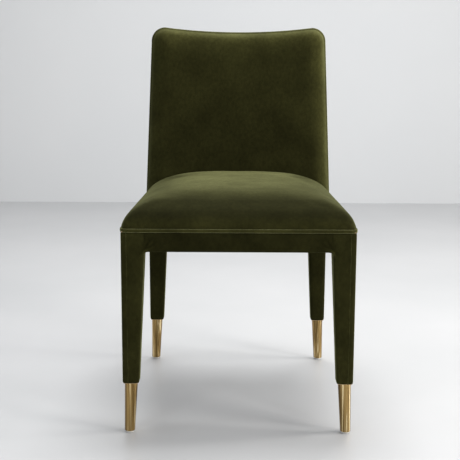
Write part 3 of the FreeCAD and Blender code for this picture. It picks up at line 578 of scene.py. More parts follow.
@dataclass(frozen=True)
class Velvet:
    """A short dense pile with a painted sheen: its colour is dark where it faces the eye and pale where it is
    seen from the side.
    """

    name: str = "velvet"
    # deep to rim: the tones of a painted sheen, from facing the eye to seen edge-on
    deep: Colour = (0.0188, 0.0181, 0.0053)
    middle: Colour = (0.0186, 0.0181, 0.0055)
    turning: Colour = (0.030, 0.0299, 0.0112)
    pale: Colour = (0.055, 0.0560, 0.0245)
    rim: Colour = (0.100, 0.103, 0.045)
    stops: tuple = (0.0, 0.35, 0.68, 0.84, 1.0)
    patch_scale: float = 8.0
    patch_shift: float = 0.14
    stroke_scale: float = 42.0
    stroke_shift: float = 0.10
    nap_and_light_shift: float = 0.04
    nap_and_light_gain: float = 0.38
    crush_scale: float = 150.0
    crush: tuple[float, float] = (0.9, 0.57)
    worn_scale: float = 14.0
    worn: tuple[float, float] = (1.0, 0.52)
    pile_scale: float = 700.0
    pile: tuple[float, float] = (0.9, 0.55)
    sheen: float = 0.13
    sheen_tint: Colour = (0.66, 0.66, 0.26)

    def build(self) -> bpy.types.Material:
        """Makes the material.

        Returns:
            The material.
        """
        nodes = Nodes(self.name)
        # painted sheen: the colour follows how squarely the surface faces the eye
        facing = nodes.add("ShaderNodeLayerWeight")
        facing.inputs["Blend"].default_value = 0.5
        patches = nodes.math("SUBTRACT", nodes.noise(self.patch_scale, 5.0), 0.5)
        strokes = nodes.math("SUBTRACT", nodes.noise(self.stroke_scale, 4.0, (1.0, 1.0, 0.45)), 0.5)
        # the nap attribute holds painted light and shade as well as the nap's own wander
        nap_and_painted_light = nodes.add("ShaderNodeAttribute", attribute_name="nap").outputs["Fac"]
        share = facing.outputs["Facing"]
        shifts = (self.patch_shift, self.stroke_shift, self.nap_and_light_shift)
        for source, shift in zip((patches, strokes, nap_and_painted_light), shifts):
            share = nodes.math("ADD", share, nodes.math("MULTIPLY", source, shift))
        tones = (self.deep, self.middle, self.turning, self.pale, self.rim)
        colour = nodes.ramp(share, list(zip(self.stops, tones)))
        crush = nodes.noise(self.crush_scale, 5.0, (1.0, 1.0, 0.7))
        worn = nodes.noise(self.worn_scale, 3.0)
        pile = nodes.noise(self.pile_scale, 2.0)
        # the nap attribute's painted light and shade also scale the colour; crush, worn and pile are the
        # pile's own random mottling
        shade = nodes.spread(nap_and_painted_light, self.nap_and_light_gain, 1.0)
        for source, (gain, base) in ((crush, self.crush), (worn, self.worn), (pile, self.pile)):
            shade = nodes.math("MULTIPLY", shade, nodes.spread(source, gain, base))
        tone = nodes.add("ShaderNodeVectorMath", operation="SCALE")
        nodes.link(colour, tone.inputs[0])
        nodes.link(shade, tone.inputs["Scale"])
        nodes.colour(tone.outputs["Vector"])
        nodes.bump(nodes.math("ADD", pile, strokes), 0.18, 0.0006)
        nodes.constant(
            Roughness=0.92,
            Specular_IOR_Level=0.02,
            Sheen_Weight=self.sheen,
            Sheen_Roughness=0.35,
            Sheen_Tint=(*self.sheen_tint, 1.0),
        )
        return nodes.material


@dataclass(frozen=True)
class Brass:
    """Satin brass, brushed along its length, with painted reflections: its colour breaks into upright light
    and dark streaks.
    """

    name: str = "brushed_brass"
    # dark and light are painted reflection tones; base is the brass itself
    dark: Colour = (0.20, 0.127, 0.045)
    base: Colour = (0.36, 0.24, 0.092)
    light: Colour = (0.80, 0.64, 0.36)
    painted_reflection_stretch: tuple = (34.0, 34.0, 0.5)
    line_stretch: tuple = (90.0, 90.0, 3.0)
    roughness: float = 0.22
    brushing: float = 0.7

    def build(self) -> bpy.types.Material:
        """Makes the material.

        Returns:
            The material.
        """
        nodes = Nodes(self.name)
        # painted reflections: upright streaks of dark and light in the colour
        streaks = nodes.noise(6.0, 2.0, self.painted_reflection_stretch)
        stops = [(0.42, self.dark), (0.50, self.base), (0.56, self.base), (0.64, self.light)]
        nodes.colour(nodes.ramp(streaks, stops))
        lines = nodes.noise(6.0, 5.0, self.line_stretch)
        nodes.bump(lines, 0.08, 0.0002)
        around = nodes.add("ShaderNodeTangent", direction_type="RADIAL", axis="Z")
        nodes.link(around.outputs["Tangent"], nodes.shader.inputs["Tangent"])
        nodes.constant(Metallic=1.0, Roughness=self.roughness, Anisotropic=self.brushing)
        return nodes.material


@dataclass(frozen=True)
class Speckled:
    """A matt finish whose colour wanders between two tones."""

    name: str
    dark: Colour
    light: Colour
    scale: float = 120.0
    stretch: tuple = (1.0, 1.0, 1.0)
    roughness: float = 0.7
    relief: float = 0.0003
    metallic: float = 0.0
    gloss: float = 0.5

    def build(self) -> bpy.types.Material:
        """Makes the material.

        Returns:
            The material.
        """
        nodes = Nodes(self.name)
        grain = nodes.noise(self.scale, 6.0, self.stretch)
        nodes.colour(nodes.ramp(grain, [(0.3, self.dark), (0.7, self.light)]))
        nodes.bump(grain, 0.3, self.relief)
        nodes.constant(Roughness=self.roughness, Metallic=self.metallic, Specular_IOR_Level=self.gloss)
        return nodes.material


@dataclass(frozen=True)
class Weave:
    """A woven cloth: two sets of threads, over and under."""

    name: str
    warp: Colour
    weft: Colour
    threads: float = 420.0
    axes: tuple = ("X", "Y")
    roughness: float = 0.85

    def build(self) -> bpy.types.Material:
        """Makes the material.

        Returns:
            The material.
        """
        nodes = Nodes(self.name)
        waves = []
        for direction in self.axes:
            wave = nodes.add("ShaderNodeTexWave", bands_direction=direction)
            wave.inputs["Scale"].default_value = self.threads
            wave.inputs["Distortion"].default_value = 0.4
            nodes.link(nodes.place, wave.inputs["Vector"])
            waves.append(wave.outputs["Fac"])
        cross = nodes.math("MULTIPLY", waves[0], waves[1])
        fuzz = nodes.math("MULTIPLY", nodes.noise(180.0, 4.0), 0.5)
        height = nodes.math("ADD", cross, fuzz)
        nodes.colour(nodes.ramp(height, [(0.15, self.warp), (1.0, self.weft)]))
        nodes.bump(height, 0.35, 0.0004)
        nodes.constant(Roughness=self.roughness)
        return nodes.material


class Finish(Enum):
    """Every finish of the chair; a value is the record's slot and the way it is made."""

    VELVET = ("velvet", Velvet())
    # the thread's pale colour is partly a painted highlight on the stitches
    THREAD = ("velvet", Velvet(name="thread", deep=(0.15, 0.15, 0.068), middle=(0.19, 0.19, 0.09)))
    BRASS = ("brushed_brass", Brass())
    NYLON = (
        "nylon",
        Speckled("nylon", (0.62, 0.60, 0.55), (0.74, 0.72, 0.67), scale=60.0, roughness=0.45),
    )
    STEEL = (
        "steel",
        Speckled("steel", (0.34, 0.34, 0.35), (0.52, 0.52, 0.53), 40.0, (1.0, 1.0, 8.0), 0.35, 0.0001, 1.0),
    )
    BEECH = (
        "beech",
        Speckled("beech", (0.46, 0.30, 0.17), (0.66, 0.47, 0.29), 30.0, (6.0, 6.0, 0.8), 0.6),
    )
    HARDBOARD = ("hardboard", Speckled("hardboard", (0.16, 0.09, 0.05), (0.25, 0.15, 0.085), 260.0))
    WEBBING = ("webbing", Weave("webbing", (0.20, 0.15, 0.09), (0.46, 0.38, 0.26), 260.0))
    FOAM = ("foam", Speckled("foam", (0.66, 0.60, 0.42), (0.80, 0.75, 0.56), 420.0, roughness=0.95))
    WADDING = ("wadding", Speckled("wadding", (0.72, 0.72, 0.70), (0.88, 0.88, 0.86), 90.0, roughness=1.0))
    DUST_CLOTH = ("dust_cloth", Weave("dust_cloth", (0.006, 0.006, 0.006), (0.024, 0.024, 0.025), 500.0))

    def material(self) -> bpy.types.Material:
        """The finish's material, made when it is first asked for.

        Returns:
            The material.
        """
        recipe = self.value[1]
        return bpy.data.materials.get(f"{recipe.name}_finish") or recipe.build()

    def put_on(self, item: bpy.types.Object) -> None:
        """Gives a new piece this finish's material.

        Args:
            item: a mesh object.
        """
        item.data.materials.clear()
        item.data.materials.append(self.material())


def settle(item: bpy.types.Object, finish: Finish, *replaced: str) -> bpy.types.Object:
    """Ends a piece: its shading, its finish and what it stands for.

    Args:
        item: the piece.
        finish: its finish.
        replaced: the CAD nodes that it stands for.

    Returns:
        The piece.
    """
    Shape.soften(item)
    finish.put_on(item)
    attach(item, "root")
    if replaced:
        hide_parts(*replaced)
    log.info("%s: %d faces", item.name, len(item.data.polygons))
    return item


# ---------------------------------------------------------------- soft sub-assemblies


@dataclass
class SeatCushion:
    """The crowned seat pad: foam, wadding and velvet as one closed form."""

    centre_share: float = 0.62
    squareness: float = 3.0
    flatness: float = 2.3
    lip: float = 0.0033
    fullness: float = 0.0017
    rear_round: float = 0.012
    rear_gap: float = 0.0006
    corner_power: float = 42.0
    crown_power: float = 5.0
    cuts: int = 34
    voxel: float = 0.0055
    pressure: float = 4.0
    cap: float = 0.0016

    def place(self, u: float, v: float, w: float) -> tuple:
        """Where a point of the cube goes.

        Args:
            u: from the left side to the right.
            v: from the front to the rear.
            w: from the underside to the crown.

        Returns:
            The point.
        """
        middle = SIZES.front + (SIZES.rear - SIZES.front) * self.centre_share
        across = math.sin(abs(u) * math.pi / 2) ** (2 / self.squareness)
        ahead = math.sin(-v * math.pi / 2) ** (2 / self.squareness) if v < 0 else 0.0
        ring = max(across, ahead)
        power = self.crown_power + (self.corner_power - self.crown_power) * ease((ring - 0.7) / 0.3)
        norm = (across**power + ahead**power) ** (1 / power)
        pull = ring / norm if norm > 0 else 1.0
        rise = (SIZES.crown - SIZES.padding_base) * max(0.0, 1 - ring**self.squareness) ** (1 / self.flatness)
        base = SIZES.padding_base
        y = middle - (middle - SIZES.front + self.fullness) * ahead * pull
        if v > 0:
            end = SIZES.front_face(0.0, base + rise) - self.rear_gap
            y = middle + (end - middle) * v
        x = math.copysign((SIZES.side(y) + self.fullness) * across * pull, u)
        if v > 0:
            bend = SIZES.front_face(x, base + rise) - SIZES.front_face(0.0, base + rise)
            y += bend * v**3
            from_rear = (SIZES.front_face(x, base + rise) - self.rear_gap) - y
            if from_rear < self.rear_round:
                rest = self.rear_round - from_rear
                rise -= min(rise, self.rear_round - math.sqrt(max(0.0, self.rear_round**2 - rest**2)))
        height = (self.lip + rise) * (w + 1) / 2
        return x, y, base - self.lip + height

    def build(self) -> bpy.types.Object:
        """Models the pad.

        Returns:
            The pad.
        """
        item = Shape.block("seat_cushion", self.cuts, self.place)
        Shape.tidy(item)
        Shape.remesh(item, self.voxel, 3)
        Shape.swell(item, self.held, self.pressure, self.cap)
        self.clear_back(item)
        Shape.modify(item, "SUBSURF", levels=1, render_levels=1)
        Shape.paint_nap_and_light(item, self.nap_and_painted_light)
        return settle(item, Finish.VELVET, "seat_cover_top", "seat_wadding", "seat_foam")

    def nap_and_painted_light(self, place: Vector) -> float:
        """Painted light in the nap attribute: a painted highlight just above the seam and painted shade on
        the slopes, nothing added on the crown, with a random wander of the nap.

        Args:
            place: a point of the pad.

        Returns:
            The value of the nap attribute.
        """
        share = (place.z - SIZES.padding_base) / (SIZES.crown - SIZES.padding_base)
        slope = ease((share - 0.15) / 0.3) * (1 - ease((share - 0.8) / 0.2))
        # painted highlight above the seam, painted shade on the slopes, random wander
        return 1.1 * (1 - ease(share / 0.4)) - 0.9 * slope + 0.3 * noise.noise(place * 11.0)

    def held(self, place: Vector) -> bool:
        """Whether the cloth is sewn or rests there.

        Args:
            place: a point of the pad.

        Returns:
            True for its seam and underside.
        """
        return place.z < SIZES.padding_base + 0.006

    def clear_back(self, item: bpy.types.Object) -> None:
        """Keeps the pad in front of the back.

        Args:
            item: the pad.
        """
        for vertex in item.data.vertices:
            limit = SIZES.front_face(vertex.co.x, vertex.co.z) - self.rear_gap
            vertex.co.y = min(vertex.co.y, limit)


@dataclass
class SeamPath:
    """The line of the seat's seam, from the right rear round the front to the left rear."""

    radius: float = 0.014
    back_front: float = 0.189
    under_back: float = 0.203
    end: float = 0.2425

    def points(self, count: int, outward: float) -> list[tuple[Vector, Vector]]:
        """Evenly spaced points of the line with their outward directions.

        Args:
            count: how many points.
            outward: how far outside the covered frame the line runs.

        Returns:
            Pairs of a point at height 0 and a level outward direction.
        """
        corners = []
        front = SIZES.front - outward
        for sine, cosine in quarter_turn(8):
            x = SIZES.half_front + outward - self.radius * (1 - cosine)
            corners.append(Vector((x, front + self.radius * (1 - sine), 0)))
        start = Vector((SIZES.side(self.end) + outward, self.end, 0))
        line = [start, *corners]
        line += [Vector((-p.x, p.y, 0)) for p in reversed(line)]
        lengths = np.cumsum([0.0] + [(b - a).length for a, b in zip(line, line[1:])])
        found = []
        for target in np.linspace(0.0, lengths[-1], count):
            index = min(int(np.searchsorted(lengths, target, side="right")) - 1, len(line) - 2)
            share = (target - lengths[index]) / max(lengths[index + 1] - lengths[index], 1e-9)
            found.append(line[index].lerp(line[index + 1], share))
        pairs = []
        for index, point in enumerate(found):
            before, after = found[max(0, index - 1)], found[min(count - 1, index + 1)]
            along = (after - before).normalized()
            pairs.append((point, Vector((-along.y, along.x, 0))))
        return pairs


@dataclass
class SeatSeam:
    """The raised, top-stitched seam between the seat's top panel and its band."""

    path: SeamPath = field(default_factory=SeamPath)
    height: float = 0.0068
    proud: float = 0.0019
    inside: float = 0.0040
    tuck: float = 0.0140
    tuck_ahead: float = 0.022
    tuck_over: float = 0.008
    wander: float = 0.0005
    sunk: float = 0.0006
    steps: int = 420
    sides: int = 14
    stitch_pitch: float = 0.0033
    stitch_length: float = 0.0027
    stitch_width: float = 0.0013
    stitch_offset: float = 0.0036
    rows: tuple = ((1, 0.0008), (-1, 0.0006))

    def ridge(self) -> bpy.types.Object:
        """Models the ridge.

        Returns:
            The ridge.
        """
        line = self.path.points(self.steps + 1, 0.0)

        def place(along: float, around: float) -> tuple:
            """Where a point of the ridge goes.

            Args:
                along: how far along the seam, 0 to 1.
                around: how far round the ridge, 0 to 1.

            Returns:
                The point.
            """
            index = round(along * self.steps)
            point, outward = line[index]
            angle = around * 2 * math.pi
            wave = noise.noise(Vector((index * 0.045, 3.1, 0.0))) * self.wander
            out = math.cos(angle)
            behind = point.y - self.path.back_front + self.tuck_ahead
            tucked = self.tuck * min(1.0, max(0.0, behind / self.tuck_over))
            reach = out * (self.proud if out > 0 else self.inside + tucked)
            up = math.sin(angle) * self.height / 2
            spot = point + outward * reach
            z = SIZES.seam + up + wave
            if point.y > self.path.under_back:
                z = min(z, SIZES.deck + self.sunk)
            return spot.x, spot.y, z

        item = Shape.sheet("seat_seam_ridge", self.steps, self.sides, place)
        Shape.cap(item)
        Shape.paint_nap_and_light(item, self.nap_and_painted_light)
        return settle(item, Finish.VELVET, "seat_seam")

    def nap_and_painted_light(self, place: Vector) -> float:
        """Painted light on the ridge: a painted highlight along it, with a random wander, and painted shade
        where it is tucked in at the back.

        Args:
            place: a point of the ridge.

        Returns:
            The value of the nap attribute.
        """
        # painted shade where the ridge is tucked in under the back
        if place.y > self.path.back_front - 0.03 and SIZES.side(place.y) - abs(place.x) > self.inside:
            return -0.6
        # painted highlight along the ridge
        return 2.6 + 1.6 * noise.noise(place * 40.0)

    def stitches(self) -> bpy.types.Object:
        """Models both rows of stitches from one stitch.

        Returns:
            All stitches as one piece.
        """
        bpy.ops.object.select_all(action="DESELECT")
        bpy.ops.mesh.primitive_uv_sphere_add(segments=6, ring_count=4, radius=0.5)
        pattern = bpy.context.active_object
        shape = np.array([v.co for v in pattern.data.vertices])
        faces = [tuple(p.vertices) for p in pattern.data.polygons]
        bpy.data.objects.remove(pattern)
        count = int(2 * (SIZES.half_front + self.path.end - SIZES.front) / self.stitch_pitch)
        points, polygons = [], []
        for row, outward in self.rows:
            for index, (spot, normal) in enumerate(self.path.points(count, outward)):
                if spot.y > self.path.back_front:
                    continue
                along = Vector((-normal.y, normal.x, 0))
                wobble = noise.noise(Vector((index * 0.7, row * 5.0, 1.0)))
                height = SIZES.seam + row * self.stitch_offset + wobble * 0.0002
                centre = spot + Vector((0, 0, height))
                axes = np.array([along, normal, (0, 0, 1)])
                size = np.array([self.stitch_length, self.stitch_width, self.stitch_width])
                base = len(points)
                points += [tuple(p) for p in (shape * size) @ axes + np.array(centre)]
                polygons += [tuple(base + corner for corner in face) for face in faces]
        mesh = bpy.data.meshes.new("seat_stitches")
        mesh.from_pydata(points, [], polygons)
        item = bpy.data.objects.new("seat_stitches", mesh)
        bpy.context.scene.collection.objects.link(item)
        return settle(item, Finish.THREAD)

    def build(self) -> None:
        """Models the ridge and its stitches."""
        self.ridge()
        self.stitches()


@dataclass
class FrameCover:
    """The velvet on the seat's rails and legs: one taut skin with filleted inner corners."""

    fillet: float = 0.010
    edge: float = 0.0045
    voxel: float = 0.003
    smoothing: int = 4
    skin: float = 0.0022
    hem: float = 0.0045
    pucker: float = 0.0016
    pucker_width: float = 0.0026
    pucker_gap: float = 0.0042
    puckers: tuple = ((0.55, 0.015), (0.95, 0.019), (1.45, 0.013))
    crease: float = 0.0007
    crease_width: float = 0.0024
    welt_inset: float = 0.0125
    welt_width: float = 0.0016
    welt_proud: float = 0.0006

    def corner(self, front: bool, side: int, inset_x: float, inset_y: float) -> tuple[float, float]:
        """A point measured inwards from one corner of the chair.

        Args:
            front: whether it is a front corner.
            side: -1 for left, 1 for right.
            inset_x: how far inwards across.
            inset_y: how far inwards along the depth.

        Returns:
            The point's x and y.
        """
        half = SIZES.half_front if front else SIZES.half_rear
        face = SIZES.front + inset_y if front else SIZES.rear - inset_y
        return side * (half - inset_x), face

    def leg(self, front: bool, side: int) -> list[bpy.types.Object]:
        """The solid forms under one leg's sleeve.

        Args:
            front: whether it is a front leg.
            side: -1 for left, 1 for right.

        Returns:
            The tapered leg and its head.
        """

        def taper(u: float, v: float, w: float) -> tuple:
            """Where a point of the tapered leg goes.

            Args:
                u: from its outer face inwards, -1 to 1.
                v: from its front or rear face inwards.
                w: from the ferrule to the rail.

            Returns:
                The point.
            """
            width = SIZES.leg_foot + (SIZES.leg_top - SIZES.leg_foot) * (w + 1) / 2
            u, v = self.rounded(u, v, self.edge / width * 2)
            x, y = self.corner(front, side, width * (u + 1) / 2, width * (v + 1) / 2)
            return x, y, SIZES.ferrule_top + (SIZES.underside - SIZES.ferrule_top) * (w + 1) / 2

        def head(u: float, v: float, w: float) -> tuple:
            """Where a point of the leg's head, beside the rails, goes.

            Args:
                u: from its outer face inwards, -1 to 1.
                v: from its front or rear face inwards.
                w: from its bottom to the deck.

            Returns:
                The point.
            """
            u, v = self.rounded(u, v, self.edge / SIZES.leg_top * 2)
            near = 0.0 if front else SIZES.cover + 0.0005
            depth = near + (SIZES.leg_top - near) * (v + 1) / 2
            x, y = self.corner(front, side, SIZES.leg_top * (u + 1) / 2, depth)
            return x, y, SIZES.deck if w > 0 else SIZES.underside - 0.004

        return [Shape.block("leg_form", 8, taper), Shape.block("head_form", 8, head)]

    @staticmethod
    def rounded(u: float, v: float, radius: float) -> tuple[float, float]:
        """Rounds the corners of a square section.

        Args:
            u: one share across the section, -1 to 1.
            v: the other.
            radius: the corners' radius, as a share of half the width.

        Returns:
            The moved shares.
        """
        over, beyond = abs(u) - (1 - radius), abs(v) - (1 - radius)
        if over <= 0 or beyond <= 0:
            return u, v
        shrink = max(over, beyond) / math.hypot(over, beyond)
        return math.copysign(1 - radius + over * shrink, u), math.copysign(1 - radius + beyond * shrink, v)

    def rails(self) -> list[bpy.types.Object]:
        """The solid forms under the bands.

        Returns:
            The front band's and both side bands' forms.
        """
        deep = SIZES.rail + SIZES.cover

        def front(u: float, v: float, w: float) -> tuple:
            """Where a corner of the front band's form goes.

            Args:
                u: from left to right, -1 to 1.
                v: from the front inwards.
                w: from the underside to the deck.

            Returns:
                The corner.
            """
            y = SIZES.front + deep * (v + 1) / 2
            return u * (SIZES.half_front - 0.012), y, SIZES.deck if w > 0 else SIZES.underside

        forms = [Shape.block("front_form", 0, front)]
        for side in (-1, 1):

            def flank(u: float, v: float, w: float, side: int = side) -> tuple:
                """Where a corner of a side band's form goes.

                Args:
                    u: from its outer face inwards, -1 to 1.
                    v: from the front to the rear.
                    w: from the underside to the deck.
                    side: -1 for left, 1 for right.

                Returns:
                    The corner.
                """
                y = SIZES.rear - 0.006 if v > 0 else SIZES.front + 0.012
                x = SIZES.side(y) - deep * (u + 1) / 2
                return side * x, y, SIZES.deck if w > 0 else SIZES.underside

            forms.append(Shape.block("side_form", 0, flank))
        return forms

    def fillets(self) -> list[bpy.types.Object]:
        """The small fills in the corners between the legs and the rails.

        Returns:
            Two fills for each front leg and one for each rear leg.
        """
        deep = SIZES.rail + SIZES.cover
        forms = []
        for side in (-1, 1):
            for front, across in ((True, True), (True, False), (False, False)):

                def fill(
                    u: float, v: float, w: float, side: int = side, front: bool = front, across: bool = across
                ) -> tuple:
                    """Where a point of a corner fill goes.

                    Args:
                        u: along the curve, -1 to 1.
                        v: from the outer face inwards.
                        w: from the corner to the curve.
                        side: -1 for left, 1 for right.
                        front: whether it is at a front leg.
                        across: whether it is under the front band.

                    Returns:
                        The point.
                    """
                    angle = (u + 1) / 4 * math.pi
                    reach = (w + 1) / 2 * self.fillet
                    out, down = reach * (1 - math.sin(angle)), reach * (1 - math.cos(angle))
                    thick = deep * (v + 1) / 2
                    if across:
                        x, y = self.corner(front, side, SIZES.leg_top - 0.002 + out, thick)
                    else:
                        _, y = self.corner(front, side, 0.0, SIZES.leg_top - 0.002 + out)
                        x = side * (SIZES.side(y) - thick)
                    return x, y, SIZES.underside + 0.001 - down

                forms.append(Shape.block("fillet_form", 5, fill))
        return forms

    def hidden(self, centre: Vector, normal: Vector) -> bool:
        """Whether a face of the fused form isn't covered with velvet.

        Args:
            centre: the face's centre.
            normal: its normal.

        Returns:
            True for the rails' tops and inner walls and for the legs' ends.
        """
        if centre.z > SIZES.deck - 0.0012:
            return True
        inside = min(SIZES.side(centre.y) - abs(centre.x), centre.y - SIZES.front)
        if centre.z > SIZES.underside + 0.0045:
            return inside > 0.006
        if centre.z < SIZES.ferrule_top + 0.003 and normal.z < -0.6:
            front = centre.y < 0
            half = SIZES.half_front if front else SIZES.half_rear
            face = centre.y - SIZES.front if front else SIZES.rear - centre.y
            depths = (half - abs(centre.x), face)
            return all(self.hem < depth < SIZES.leg_foot - self.hem for depth in depths)
        return False

    def creases(self, place: Vector) -> float:
        """How far the velvet stands up or dips in at the front's inner corners.

        Args:
            place: a point of the cover.

        Returns:
            A length above 0 on a fold and below 0 in a crease.
        """
        if place.y > SIZES.front + 0.012:
            return 0.0
        out = SIZES.half_front - SIZES.leg_top - abs(place.x)
        rise = place.z - SIZES.underside
        height = 0.0
        for slant, spread in self.puckers:
            along = rise * math.sin(slant) + out * math.cos(slant)
            across = rise * math.cos(slant) - out * math.sin(slant)
            reach = math.exp(-(((along - 0.008) / spread) ** 2))
            fold = math.exp(-((across / self.pucker_width) ** 2))
            fold -= math.exp(-(((across - self.pucker_gap) / self.pucker_width) ** 2))
            height += self.pucker * fold * reach
        if rise > 0:
            height -= self.crease * math.exp(-(((out - 0.001) / self.crease_width) ** 2)) * ease(rise / 0.01)
        return max(-self.crease, height)

    def fold(self, item: bpy.types.Object) -> None:
        """Presses the creases into the fused form.

        Args:
            item: the fused form.
        """
        for vertex in item.data.vertices:
            vertex.co.y -= self.creases(vertex.co)

    def nap_and_painted_light(self, place: Vector) -> float:
        """The nap attribute: lighter on the legs than on the bands, with painted shade that keeps the rear
        legs darker, painted shade in the creases and a painted highlight on the folds.

        Args:
            place: a point of the cover.

        Returns:
            The value of the nap attribute.
        """
        insets = (SIZES.side(place.y) - abs(place.x), min(place.y - SIZES.front, SIZES.rear - place.y))
        leg = ease((SIZES.leg_top + 0.001 - max(insets)) / 0.002)
        # painted shade in the creases and a painted highlight on the folds
        painted_crease_light = 900.0 * self.creases(place) if place.y < SIZES.front + 0.004 else 0.0
        wander = noise.noise(place * 22.0)
        # painted shade: the rear legs get less of the legs' lightening
        if place.y > 0.1:
            leg *= 0.3
        return leg * (0.5 + 0.5 * wander) - (0.4 - 0.3 * wander) * (1 - leg) + painted_crease_light

    def welts(self) -> None:
        """Models the raised seams that run down the front legs' outer edges."""
        for side, word in ((-1, "left"), (1, "right")):

            def place(along: float, around: float, side: int = side) -> tuple:
                """Where a point of a raised seam goes.

                Args:
                    along: how far up the leg, 0 to 1.
                    around: how far round the seam, 0 to 1.
                    side: -1 for left, 1 for right.

                Returns:
                    The point.
                """
                z = SIZES.ferrule_top + 0.001 + (SIZES.deck - SIZES.ferrule_top - 0.002) * along
                wave = noise.noise(Vector((z * 30.0, side * 2.0, 0.3))) * 0.0005
                x, y = self.corner(True, side, self.welt_inset + wave, 0.0)
                angle = around * 2 * math.pi
                x += self.welt_width / 2 * math.cos(angle)
                return x, y - self.welt_proud * math.sin(angle), z

            item = Shape.sheet(f"leg_welt_{word}", 160, 8, place)
            Shape.cap(item)
            # painted highlight along the raised seams, with a random wander
            Shape.paint_nap_and_light(item, lambda spot: 0.9 + 1.2 * noise.noise(spot * 60.0))
            settle(item, Finish.VELVET)

    def build(self) -> bpy.types.Object:
        """Models the cover.

        Returns:
            The cover.
        """
        forms = self.rails() + self.fillets()
        for front in (True, False):
            for side in (-1, 1):
                forms += self.leg(front, side)
        item = Shape.join("frame_cover", forms)
        Shape.remesh(item, self.voxel, self.smoothing)
        self.fold(item)
        Shape.drop_faces(item, self.hidden)
        Shape.tidy(item)
        Shape.modify(item, "SOLIDIFY", thickness=self.skin, offset=-1.0, use_rim=True)
        Shape.paint_nap_and_light(item, self.nap_and_painted_light)
        corners = [f"{end}_{side}" for end in ("front", "rear") for side in ("left", "right")]
        replaced = [f"leg_cover_{corner}" for corner in corners]
        replaced += [f"apron_cover_{band}" for band in ("front", "left", "right")]
        self.welts()
        return settle(item, Finish.VELVET, *replaced)


